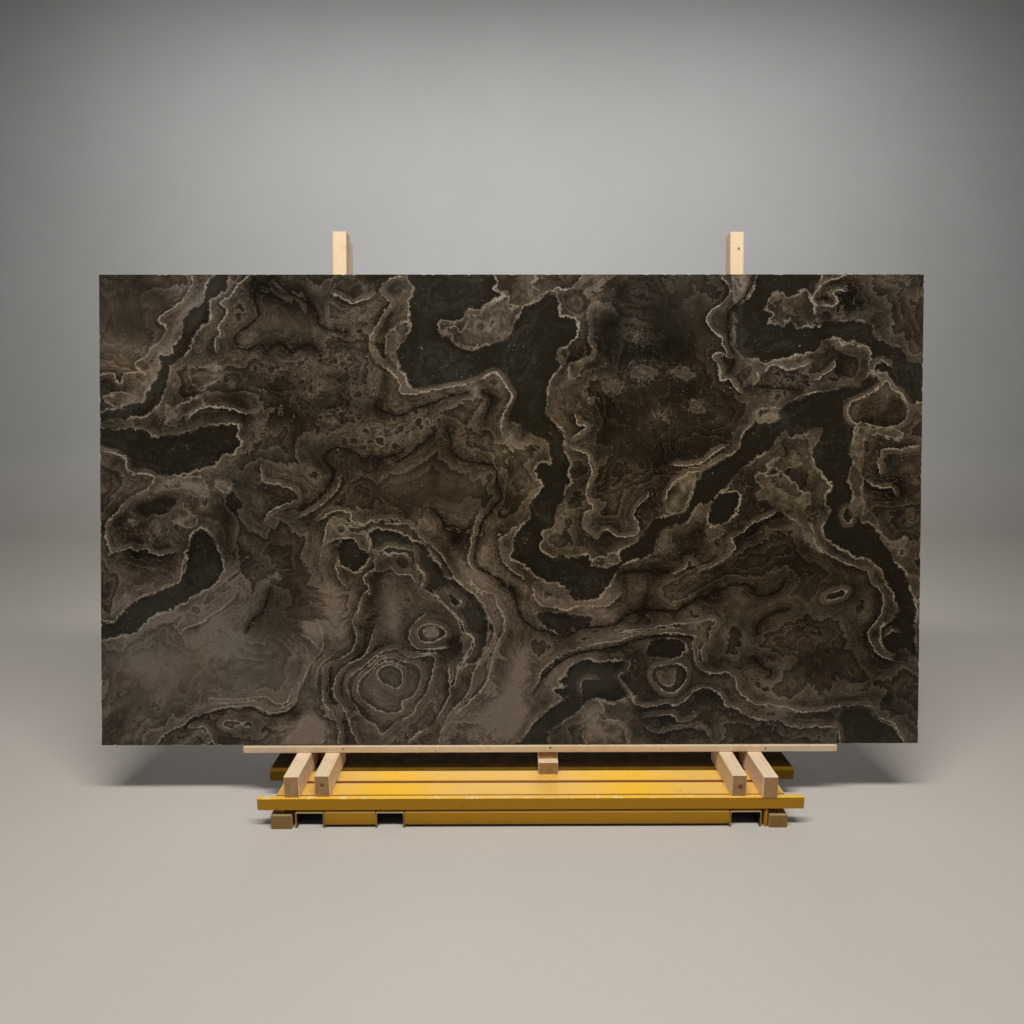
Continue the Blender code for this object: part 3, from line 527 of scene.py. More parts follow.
darkLines = [
    [(-90, 166.5), (-93.5, 166.5), (-93.5, 162), (-92, 157), (-96, 153.5), (-99, 151)],
    [(-87.5, 168), (-85.5, 165.5), (-80, 164.5), (-76.5, 162.5), (-73, 160), (-71, 157), (-71, 154.5),
     (-69, 152.5), (-65.5, 151.5), (-60, 151)],
    [(-100.5, 149.5), (-100.5, 147), (-98.5, 145), (-96, 144.5), (-93, 146), (-90.5, 146),
     (-89.5, 143.5)],
    [(-89.5, 144.5), (-84.5, 147), (-80, 143.5), (-78.5, 145), (-75, 146), (-72, 145), (-70, 143)],
    [(-50, 124.5), (-48, 122.5), (-44.5, 121), (-40, 120.5), (-35.5, 123.5), (-31.5, 124), (-27, 126),
     (-21.5, 128), (-16.5, 129)],
    [(-10.5, 129), (-7.5, 127), (-8, 124), (-10, 120)],
    [(-69, 104.5), (-67, 107.5), (-63.5, 109), (-59, 108), (-56.5, 106.5), (-54, 104.5), (-51, 106),
     (-48.5, 104.5), (-44.5, 106), (-42, 106.5), (-39.5, 108.5)],
    [(-41.5, 104), (-38, 106), (-33, 110), (-28.5, 114.5)],
    [(-23.5, 115), (-22.5, 111), (-22, 107.5), (-19, 105), (-15.5, 104), (-10, 103), (-7, 102),
     (-5.5, 99), (-5.5, 95), (-4, 92.5), (-3.5, 90.5), (-6.5, 87.5), (-9, 84.5), (-11, 81), (-12.5, 76),
     (-13.5, 72), (-14, 67.5), (-12, 65), (-8, 63), (-4, 60.5), (0.5, 57)],
    [(-76.5, 86.5), (-72, 89), (-69, 92), (-66.5, 96), (-65, 99.5), (-67, 102.5), (-69, 104.5)],
    [(-29.5, 86.5), (-26, 83.5), (-24, 80), (-21, 79), (-20, 77), (-21.5, 75)],
    [(98, 84), (94, 82.5), (90, 79.5), (86.5, 76.5), (83, 75), (82, 71.5)],
    [(-120, 6), (-115, 10), (-108.5, 12), (-105, 13), (-100, 13), (-95, 13.5), (-90, 11), (-86, 10.5),
     (-81, 13)],
    [(-88.5, 57), (-89.5, 52.5), (-91, 49), (-95, 45.5), (-97, 42)],
    [(-3.5, 58.5), (1, 55.5), (2, 51), (3, 47.5), (6, 44.5), (9, 42.5), (14, 41.5), (16.5, 40),
     (21.5, 40.5), (25, 42.5), (30.5, 43), (37.5, 44), (41.5, 47), (46.5, 49), (51.5, 49.5), (59.5, 49),
     (64, 51), (69, 54), (73.5, 55)],
    [(12, 25), (17, 30), (23, 33), (30, 34.5), (39, 35.5), (45, 38.5), (60, 40), (65.5, 39)],
    [(89.5, 40.5), (90, 43), (92.5, 46), (97, 48.5), (101, 49.5)],
    [(70, 53.5), (76.5, 56.5), (81, 59), (86.5, 58.5), (89, 56.5)],
    [(90.5, 54.5), (95, 55), (98.5, 57), (100, 59.5)],
    [(89, 32), (91.5, 29), (95.5, 27), (95, 25)],
    [(83, 129), (85, 130.5), (90, 131), (100, 130.5), (104.5, 130)],
    [(40, 63), (48, 64), (56, 63.5), (64, 64.5), (75, 68)],
    [(88, 173), (87, 168), (84, 163), (79, 158), (78.5, 152), (79, 146), (81, 141), (79, 136),
     (79.5, 130)],
    [(-66, 28), (-67, 20), (-66, 14), (-62, 8), (-60.5, 1)],
    [(-62, 9), (-58, 14), (-62, 20), (-61.5, 26), (-57, 30.5), (-52, 34), (-46, 36.5), (-38, 35)],
]

# soft areas: across, up, half width, half height, amount
toneAreas = [
    (-139, 155, 10, 12, -0.08), (-139, 139, 10, 7, 0.24), (-118, 116, 16, 6, -0.14),
    (-75, 118, 20, 9, -0.14), (-60, 105, 12, 8, -0.10), (-32, 92, 22, 9, 0.02), (-96, 155, 14, 8, 0.05),
    (-80, 152, 10, 6, 0.10), (-128, 32, 34, 16, 0.34), (-92, 28, 28, 16, 0.26), (-70, 10, 30, 14, 0.26),
    (-104, 52, 10, 12, 0.26), (-130, 52, 14, 10, 0.16), (-130, 12, 26, 10, 0.14), (-66, 50, 8, 16, 0.22),
    (-42, 50, 9, 12, 0.22), (-10, 62, 9, 16, 0.16), (-2, 22, 12, 20, 0.30), (-14, 6, 12, 9, 0.28),
    (6, 46, 9, 8, 0.14), (-30, 20, 10, 14, 0.14), (34, 128, 16, 26, -0.14), (56, 130, 24, 34, -0.20),
    (72, 92, 26, 20, -0.12), (60, 150, 10, 14, -0.10), (97, 62, 30, 14, -0.12), (112, 40, 26, 16, -0.08),
    (140, 92, 9, 20, -0.12), (138, 56, 8, 14, -0.08), (60, 60, 22, 6, 0.08), (70, 46, 34, 7, 0.16),
    (108, 22, 26, 6, 0.10), (100, 132, 18, 5, -0.06), (98, 157, 8, 5, 0.06), (60, 16, 18, 6, -0.12),
    (28, 22, 12, 8, 0.02), (36, 8, 10, 6, 0.18), (130, 20, 20, 8, -0.06), (-90, 78, 18, 20, 0.0),
    (-48, 22, 10, 10, 0.12), (-46, 140, 6, 14, 0.04), (-12, 116, 12, 10, 0.02), (14, 165, 10, 6, 0.10),
    (26, 150, 4, 12, 0.10), (-8, 152, 14, 6, 0.06), (-75, 78, 8, 20, 0.08),
]
warmAreas = [  # browner where positive, greyer where negative
    (10, 85, 40, 32, 0.9), (62, 95, 40, 34, 0.8), (100, 72, 42, 30, 0.9), (134, 95, 18, 34, 0.8),
    (-40, 98, 40, 22, 0.7), (32, 118, 14, 18, 0.5), (-66, 56, 8, 20, 0.7), (-138, 138, 12, 10, 0.6),
    (98, 20, 30, 12, 0.4), (-125, 35, 30, 24, -0.9), (-135, 160, 18, 12, -0.8), (-95, 166, 20, 8, -0.5),
    (60, 162, 22, 12, -0.9), (-86, 56, 12, 22, -0.7), (44, 148, 12, 18, -0.6), (-50, 24, 20, 20, -0.4),
    (30, 24, 14, 10, -0.4),
]
# broad strokes that lighten or darken the ground: amount, half width, points
washes = [
    (-0.20, 5, [(-53, 73), (-51, 66), (-51, 58), (-51, 50), (-53, 42), (-57, 34), (-63, 30), (-66, 25),
                (-67, 18), (-64, 11), (-61, 5), (-59, -1)]),
    (-0.18, 4, [(-14, 38), (-18, 32), (-21, 24), (-23, 16), (-27, 8), (-33, 0)]),
    (-0.10, 4, [(-44, 78), (-36, 74), (-30, 66), (-23, 60), (-16, 55), (-12, 48), (-11, 42)]),
    (0.22, 7, [(-64, 82), (-69, 74), (-68, 64), (-66, 54), (-66, 46), (-70, 41)]),
    (0.22, 2.5, [(-70, 40), (-72, 34), (-76, 26), (-79, 18)]),
    (0.18, 4, [(-36, 83), (-27, 78), (-21, 70), (-14, 62), (-8, 56), (-5, 49), (-4, 42), (-6, 34),
               (-10, 27), (-15, 19), (-20, 11), (-26, 2)]),
    (0.12, 4, [(-9, 84), (-11, 76), (-9, 68), (-3, 63), (6, 57), (14, 52.5), (24, 51), (34, 52)]),
    (0.18, 5, [(-46, 60), (-44, 52), (-43, 45)]),
    (0.26, 3, [(-130, 93), (-124, 96), (-117, 96), (-112, 94)]),
    (0.30, 2, [(-122, 9), (-112, 14.5), (-104, 16), (-96, 15.5), (-88, 13.5), (-82, 15), (-79, 20)]),
    (-0.20, 3.5, [(-124, 2), (-116, 8), (-106, 10), (-97, 9), (-88, 7)]),
    (0.12, 3, [(-148, 40), (-140, 39), (-132, 46), (-122, 47), (-113, 51)]),
    (0.16, 2.5, [(-145, 50), (-138, 56), (-130, 60), (-123, 63), (-121, 70), (-124, 75)]),
    (-0.14, 5, [(-106, 73), (-104, 82), (-109, 90)]),
    (0.14, 5, [(-148, 147), (-138, 146), (-130, 145)]),
    (0.24, 3, [(-138, 127), (-131, 136), (-125, 146), (-121, 154), (-114, 162), (-108, 171)]),
    (0.12, 3, [(-118, 134), (-112, 148), (-108, 158), (-104, 165), (-98, 171)]),
    (0.12, 8, [(-94, 157), (-84, 155), (-72, 152)]),
    (-0.14, 9, [(-118, 146), (-116, 134), (-117, 122)]),
    (-0.12, 8, [(-55, 168), (-53, 154)]),
    (-0.06, 9, [(-12, 160), (-10, 142), (-8, 122)]),
    (-0.25, 8, [(-4, 169), (10, 167), (24, 169)]),
    (-0.18, 5, [(-44, 166), (-47, 150), (-43, 140)]),
    (0.30, 3, [(-76, 44), (-73, 41.5)]),
    (0.30, 7, [(58, 87), (62, 93), (65, 98)]),
    (0.30, 5, [(91, 120), (97, 120)]),
    (0.45, 6, [(-80, 1), (-74, 8)]),
    (0.20, 4, [(-30, 42), (-29, 40)]),
    (-0.28, 9, [(98, 160), (106, 158)]),
    (-0.15, 9, [(98, 96), (108, 84)]),
    (-0.16, 9, [(33, 80), (30, 70)]),
    (-0.10, 24, [(92, 168), (100, 140), (112, 116), (112, 96), (100, 78)]),
    (-0.12, 12, [(118, 118), (116, 140), (98, 160)]),
    (0.10, 9, [(-140, 98), (-134, 92)]),
    (0.08, 12, [(-140, 33), (-128, 30)]),
    (-0.16, 3, [(-63, 152), (-60, 142), (-58, 132), (-61, 123)]),
    (0.14, 3, [(-54, 168), (-52, 158), (-52, 148), (-46, 141)]),
    (-0.18, 5, [(-103, 132), (-100, 126)]),
    (-0.22, 4, [(-91, 131), (-86, 130)]),
    (-0.16, 3, [(-132, 121), (-124, 117), (-114, 119), (-100, 121)]),
    (0.14, 3, [(22, 166), (24, 158), (28, 150), (27, 142), (21, 136), (17, 128), (16, 121), (22, 113)]),
    (0.18, 3, [(31, 171), (31, 160), (31, 152)]),
    (-0.20, 7, [(38, 165), (38, 152), (38, 142), (46, 143), (56, 146)]),
    (0.18, 4, [(-3, 126), (-4, 118), (2, 110), (6, 106), (4, 98), (8, 93)]),
    (0.10, 4, [(-14, 127), (-8, 120), (-8, 112), (-4, 104)]),
    (0.12, 5, [(-24, 96), (-12, 96)]),
    (0.24, 3, [(84, 172), (84, 166), (82, 160), (82, 150), (84, 142)]),
    (-0.22, 9, [(142, 108), (142, 98)]),
    (-0.20, 8, [(56, 106), (66, 108), (76, 112)]),
    (0.20, 4, [(3, 60), (10, 54), (20, 51), (32, 52), (38, 56)]),
    (0.18, 3, [(72, 46), (60, 42), (44, 40), (30, 36), (20, 30), (12, 22), (6, 13), (1, 6)]),
    (0.32, 9, [(4, 31), (2, 20), (-3, 8)]),
    (0.24, 6, [(-46, 74), (-34, 70), (-25, 62), (-16, 52), (-12, 42), (-14, 33)]),
    (0.22, 4, [(-106, 170), (-116, 155), (-124, 142), (-132, 128), (-146, 121)]),
    (-0.10, 9, [(92, 14), (108, 13), (122, 14)]),
    (-0.12, 9, [(98, 138), (116, 140), (132, 142)]),
    (-0.14, 10, [(34, 76), (50, 74), (72, 78)]),
    (-0.10, 8, [(10, 112), (14, 98), (34, 100)]),
    (0.12, 12, [(52, 118), (74, 118)]),
    (0.30, 8, [(26, 25), (36, 24)]),
    (0.28, 6, [(57, 25), (59, 23.5)]),
    (0.14, 4, [(70, 44), (70, 34)]),
    (0.16, 4, [(100, 86), (107, 78), (112, 71), (122, 65), (129, 59), (131, 50), (128, 41), (131, 33)]),
    (0.38, 15, [(84, 54), (104, 53)]),
    (-0.15, 9, [(-15, 151), (-7, 154), (0, 157)]),
    (0.10, 9, [(-143, 161), (-135, 160)]),
    (0.08, 9, [(-142, 97), (-135, 97)]),
    (0.07, 9, [(-142, 33), (-134, 33)]),
    (-0.07, 9, [(-120, 146), (-118, 132), (-118, 118)]),
    (-0.07, 9, [(32, 122), (32, 114)]),
    (-0.07, 9, [(-10, 122), (-10, 114)]),
    (-0.08, 9, [(94, 118), (98, 108), (96, 97)]),
    (-0.07, 9, [(-12, 56), (-8, 52)]),
    (-0.07, 9, [(10, 34), (10, 22), (10, 10)]),
    (0.12, 10, [(112, 50), (122, 46)]),
    (0.22, 2.5, [(72, 24), (80, 22), (84, 17), (92, 13.5), (104, 12.5), (116, 13), (126, 15), (134, 15),
                 (142, 8), (148, 2)]),
    (0.14, 4, [(84, 24), (92, 19), (106, 17), (120, 19), (132, 20), (145, 22)]),
    (-0.22, 3.5, [(80, 11), (88, 9), (98, 7.5), (108, 9), (120, 10)]),
]
calmAreas = [
    (-138, 155, 12, 14, 1), (-30, 92, 20, 8, 1), (-95, 25, 24, 8, 1), (-44, 50, 7, 12, 0.9),
    (-3, 22, 10, 16, 0.8), (-104, 50, 7, 9, 0.9), (45, 110, 14, 8, 0.8), (-43, 23, 14, 14, 1),
    (-30, 42, 8, 7, 1), (30, 24, 8, 8, 0.8), (110, 58, 16, 12, 0.6), (115, 30, 14, 10, 0.5),
    (-82, 155, 14, 6, 0.7), (66, 108, 14, 8, 0.8), (57, 24, 8, 7, 1), (98, 92, 8, 6, 0.7),
    (-124, 28, 26, 14, 1), (-88, 44, 14, 14, 0.8), (60, 152, 16, 18, 1), (60, 126, 20, 16, 0.9),
    (72, 98, 18, 10, 0.7), (94, 50, 14, 8, 0.6), (-120, 116, 12, 5, 0.6),
]
cellAreas = [
    (-73, 134, 8, 9, 1), (-68, 117, 7, 5, 0.7), (-50, 112, 16, 7, 0.9), (-35, 118, 12, 6, 0.9),
    (-55, 130, 6, 5, 0.9), (-86, 137, 8, 4, 0.7), (-72, 55, 4, 12, 0.5), (-128, 78, 8, 5, 0.7),
    (-62, 140, 8, 6, 0.6), (-20, 112, 8, 6, 0.6), (-92, 98, 6, 5, 0.5), (-60, 118, 8, 6, 0.8),
]
crustAreas = [
    (45, 150, 5, 8, 0.6), (48, 136, 7, 5, 1), (37, 131, 5, 3, 1), (14, 58, 4, 2, 1), (20, 56, 3, 2, 1),
    (26, 71.5, 3, 1.5, 1), (-103, 112, 2.5, 3, 1), (-108, 103, 8, 3, 1), (-92, 115, 3, 4, 1),
    (35, 67, 4, 2, 0.9), (19, 86, 3, 3, 1), (64, 65, 3, 2, 0.9), (50, 68, 5, 1, 0.9),
    (-124, 118, 8, 2, 0.6), (62, 136, 5, 3, 0.9), (67, 124, 5, 3, 0.8), (56, 74, 4, 5, 1),
    (68, 85, 4, 4, 1), (146, 84, 2.5, 3, 1), (-57, 157, 6, 3, 1), (-34, 160, 3, 3, 0.8),
    (-18, 164, 4, 1.5, 0.8), (-22, 134, 6, 1.5, 1), (-32, 147, 2, 2, 0.9), (-73, 135, 8, 8, 0.8),
    (55, 120, 6, 4, 0.6), (-92, 117, 2, 3, 0.9), (-102, 132, 2, 2, 0.9), (74, 78, 6, 5, 0.7),
    (100, 134, 10, 3, 0.7),
]


def smoothed(stroke):  # a soft curve through a stroke's points, a point every centimetre or so
    closed = stroke[-1] is True
    points = [np.array(point, float) / 100 for point in (stroke[:-1] if closed else stroke)]
    count = len(points)
    made = []
    for index in range(count if closed else count - 1):
        start, end = points[index], points[(index + 1) % count]
        if closed:
            before, after = points[index - 1], points[(index + 2) % count]
        else:
            before = points[max(index - 1, 0)]
            after = points[min(index + 2, count - 1)]
        pieces = max(1, round(float(np.linalg.norm(end - start)) / 0.012))
        for part in range(pieces):
            t = part / pieces
            slope = end - before
            bend = 2 * before - 5 * start + 4 * end - after
            twist = 3 * start - before - 3 * end + after
            made.append(0.5 * (2 * start + slope * t + bend * t * t + twist * t ** 3))
    made.append(made[0] if closed else points[-1])
    return made


# a fine lattice over the face says how far each place is from the nearest stroke
class Lattice:
    def __init__(self):
        gap = slabShape["fieldStep"]
        self.across = np.arange(-1.54, 1.54, gap)
        self.up = np.arange(-0.04, 1.76, gap)
        self.gap = gap

    def distances(self, strokes):  # distance, and distance with a side
        reach = slabShape["reach"]
        near = np.full((len(self.up), len(self.across)), reach)
        sided = near.copy()
        margin = int(reach / self.gap) + 1
        for points in strokes:
            for start, end in zip(points, points[1:]):
                run = end - start
                lengthSquared = float(run @ run)
                if lengthSquared < 1e-10:
                    continue
                low = np.minimum(start, end)
                high = np.maximum(start, end)
                left = max(int((low[0] - self.across[0]) / self.gap) - margin, 0)
                right = int((high[0] - self.across[0]) / self.gap) + margin
                base = max(int((low[1] - self.up[0]) / self.gap) - margin, 0)
                top = int((high[1] - self.up[0]) / self.gap) + margin
                x = self.across[None, left:right] - start[0]
                y = self.up[base:top, None] - start[1]
                if x.size == 0 or y.size == 0:
                    continue
                along = np.clip((x * run[0] + y * run[1]) / lengthSquared, 0, 1)
                away = np.hypot(x - along * run[0], y - along * run[1])
                side = np.where(run[0] * y - run[1] * x >= 0, 1.0, -1.0)
                window = near[base:top, left:right]
                closer = away < window
                window[closer] = away[closer]
                sided[base:top, left:right][closer] = (away * side)[closer]
        return near, sided

    def inside(self, outlines):  # distance to closed shapes, less than zero inside
        loops = [smoothed(list(outline) + [True]) for outline in outlines]
        near, _ = self.distances(loops)
        within = np.zeros(near.shape, bool)
        for loop in loops:
            cover = np.zeros(near.shape, bool)
            for start, end in zip(loop, loop[1:]):
                crosses = (start[1] > self.up[:, None]) != (end[1] > self.up[:, None])
                if start[1] != end[1]:
                    share = (self.up[:, None] - start[1]) / (end[1] - start[1])
                    cover ^= crosses & (self.across[None, :] < start[0] + share * (end[0] - start[0]))
            within |= cover
        return np.where(within, -near, near)

    def soft(self, areas, peak=False):  # soft round areas
        total = np.zeros((len(self.up), len(self.across)))
        for across, up, wide, high, amount in areas:
            spread = ((self.across[None, :] - across / 100) / (wide / 100)) ** 2 \
                + ((self.up[:, None] - up / 100) / (high / 100)) ** 2
            bump = amount * np.exp(-spread * 0.9)
            total = np.maximum(total, bump) if peak else total + bump
        return total

    def at(self, field, across, up):
        column = np.clip((across - self.across[0]) / self.gap, 0, len(self.across) - 1.001)
        row = np.clip((up - self.up[0]) / self.gap, 0, len(self.up) - 1.001)
        left, base = column.astype(int), row.astype(int)
        right, top = column - left, row - base
        return (field[base, left] * (1 - right) * (1 - top) + field[base, left + 1] * right * (1 - top)
                + field[base + 1, left] * (1 - right) * top + field[base + 1, left + 1] * right * top)


def slabPoint(across, up, back):
    lean = slabShape["lean"]
    return (across, up * math.sin(lean) + back * math.cos(lean) + slabShape["footDepth"],
            slabShape["foot"] + up * math.cos(lean) - back * math.sin(lean))


def racked(across, up):  # out of square as it was sawn
    rack = slabShape["rack"]
    share = up / slabShape["height"]
    return across + rack * (2 * share - 1), up + share * rack / 2 * across / (slabShape["width"] / 2)


def layFace():  # the polished face as a fine grid, then the sawn edges pulled back from its border
    shape = slabShape
    wide, high, thick, arris = shape["width"], shape["height"], shape["thick"], shape["arris"]
    deselectAll()
    bpy.ops.mesh.primitive_grid_add(x_subdivisions=shape["columns"], y_subdivisions=shape["rows"], size=1)
    slab = bpy.context.object
    slab.name = "marble_slab"
    bpy.ops.object.mode_set(mode="EDIT")
    bpy.ops.transform.resize(value=(wide - 2 * arris, high - 2 * arris, 1))
    bpy.ops.transform.translate(value=(0, high / 2, 0))
    bpy.ops.mesh.select_all(action="DESELECT")
    bpy.ops.mesh.select_non_manifold()
    grow = (wide / (wide - 2 * arris), high / (high - 2 * arris), 1)
    shrink = (1 / grow[0], 1 / grow[1], 1)
    middle = (0, high / 2, 0)
    for back, size in ((arris, grow), (thick - 2 * arris, (1, 1, 1)), (arris, shrink)):
        bpy.ops.mesh.extrude_region_move(TRANSFORM_OT_translate={"value": (0, 0, back)})
        bpy.ops.transform.resize(value=size, center_override=middle)
    bpy.ops.object.mode_set(mode="OBJECT")
    return slab


def closeBack(slab):  # the sawn back as a coarser grid, bridged to the edges one side at a time
    shape = slabShape
    wide, high, thick, arris = shape["width"], shape["height"], shape["thick"], shape["arris"]
    inset = shape["backInset"]
    same = 1e-5  # closer than this counts as the same place
    deselectAll()
    columns, rows = shape["backColumns"], shape["backRows"]
    bpy.ops.mesh.primitive_grid_add(x_subdivisions=columns, y_subdivisions=rows, size=1)
    bpy.ops.object.mode_set(mode="EDIT")
    bpy.ops.transform.resize(value=(wide - inset, high - inset, 1))
    bpy.ops.transform.translate(value=(0, high / 2, thick))
    bpy.ops.object.mode_set(mode="OBJECT")
    slab.select_set(True)
    bpy.context.view_layer.objects.active = slab
    bpy.ops.object.join()
    mesh = slab.data
    for side in range(4):
        bpy.ops.object.mode_set(mode="EDIT")
        bpy.ops.mesh.select_mode(type="EDGE")
        bpy.ops.mesh.select_all(action="DESELECT")
        bpy.ops.object.mode_set(mode="OBJECT")
        away = []  # how far each point of the back lies from this side
        for x, y, z in (vertex.co for vertex in mesh.vertices):
            gaps = (wide / 2 - x, wide / 2 + x, high - y, y)
            away.append(gaps[side] if z > thick - same else wide)
        for edge in mesh.edges:
            one, other = (away[index] for index in edge.vertices)
            edge.select = abs(one - other) < same and min(abs(one - arris), abs(one - inset / 2)) < same
        bpy.ops.object.mode_set(mode="EDIT")
        bpy.ops.mesh.bridge_edge_loops()
        bpy.ops.mesh.select_mode(type="VERT")
        bpy.ops.object.mode_set(mode="OBJECT")


def chipArrises(across, up, back):  # chips along the front and back arrises
    shape = slabShape
    wide, high, thick = shape["width"], shape["height"], shape["thick"]
    foot, top, left = shape["chipShares"]  # a draw below each falls on that edge, the rest on the right
    nearFace, nearBorder = 0.002, 0.0008
    chance = random.Random(shape["seed"])
    border = np.minimum(np.minimum(across + wide / 2, wide / 2 - across), np.minimum(up, high - up))
    for _ in range(shape["chips"]):
        side = chance.random()
        if side < top:
            place = (chance.uniform(-wide / 2, wide / 2), 0 if side < foot else high)
            inward = (0, 1 if side < foot else -1)
        else:
            place = (-wide / 2 if side < left else wide / 2, chance.uniform(0, high))
            inward = (1 if side < left else -1, 0)
        rearSide = chance.random() < 0.5
        size = chance.uniform(*shape["chipSize"])
        deep = shape["chip"] * chance.uniform(0.3, 1.0)
        away = np.hypot(across - place[0], up - place[1])
        share = np.clip(1 - away / size, 0, 1) * (border < shape["chipReach"])
        share *= (back > thick - nearFace) if rearSide else (back < nearFace)
        across += inward[0] * share * deep
        up += inward[1] * share * deep
        back += (-1 if rearSide else 1) * share * deep * shape["chipBack"] * (border < nearBorder)


def markVeins(mesh, across, up):  # what the material reads at each point of the mesh
    fields = {}
    lattice = Lattice()
    fields["pool"] = lattice.inside(darkPools.values())
    fields["patch"] = lattice.inside(tanPatches.values())
    fields["creamNear"], fields["cream"] = lattice.distances([smoothed(stroke) for stroke in creamLines])
    fields["seamNear"], fields["seam"] = lattice.distances([smoothed(stroke) for stroke in darkLines])
    fields["flow"] = np.minimum(np.minimum(np.abs(fields["pool"]), fields["creamNear"]), fields["seamNear"])
    fields["tone"] = lattice.soft(toneAreas)
    fields["warm"] = lattice.soft(warmAreas)
    for amount, half, stroke in washes:
        away, _ = lattice.distances([smoothed(stroke)])
        fade = np.clip(1 - away / (half / 100), 0, 1)
        fields["tone"] += amount * fade * fade * (3 - 2 * fade)
    fields["calm"] = lattice.soft(calmAreas, True)
    fields["crust"] = lattice.soft(crustAreas, True)
    fields["cells"] = lattice.soft(cellAreas, True)
    for name, field in fields.items():
        mesh.attributes.new(name, "FLOAT", "POINT").data.foreach_set("value", lattice.at(field, across, up))


def buildMarble():
    slab = layFace()
    closeBack(slab)
    mesh = slab.data
    flat = np.empty(len(mesh.vertices) * 3)
    mesh.vertices.foreach_get("co", flat)
    across, up, back = flat.reshape(-1, 3).T.copy()
    chipArrises(across, up, back)
    markVeins(mesh, across, up)
    x, y = racked(across, up)
    mesh.vertices.foreach_set("co", np.stack(slabPoint(x, y, back), axis=1).ravel())
    mesh.update()
    bpy.ops.object.mode_set(mode="EDIT")  # laid upright, the faces are turned outwards
    bpy.ops.mesh.select_all(action="SELECT")
    bpy.ops.mesh.normals_make_consistent(inside=False)
    bpy.ops.object.mode_set(mode="OBJECT")
    slab.data.materials.append(marbleFace())
    slab.data.materials.append(marbleSawn())
    for polygon in mesh.polygons:
        polygon.material_index = 1 if (polygon.normal.y > -0.9) else 0
    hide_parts("slab")
    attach(slab, "root")
    print("marble slab:", len(mesh.polygons), "faces")


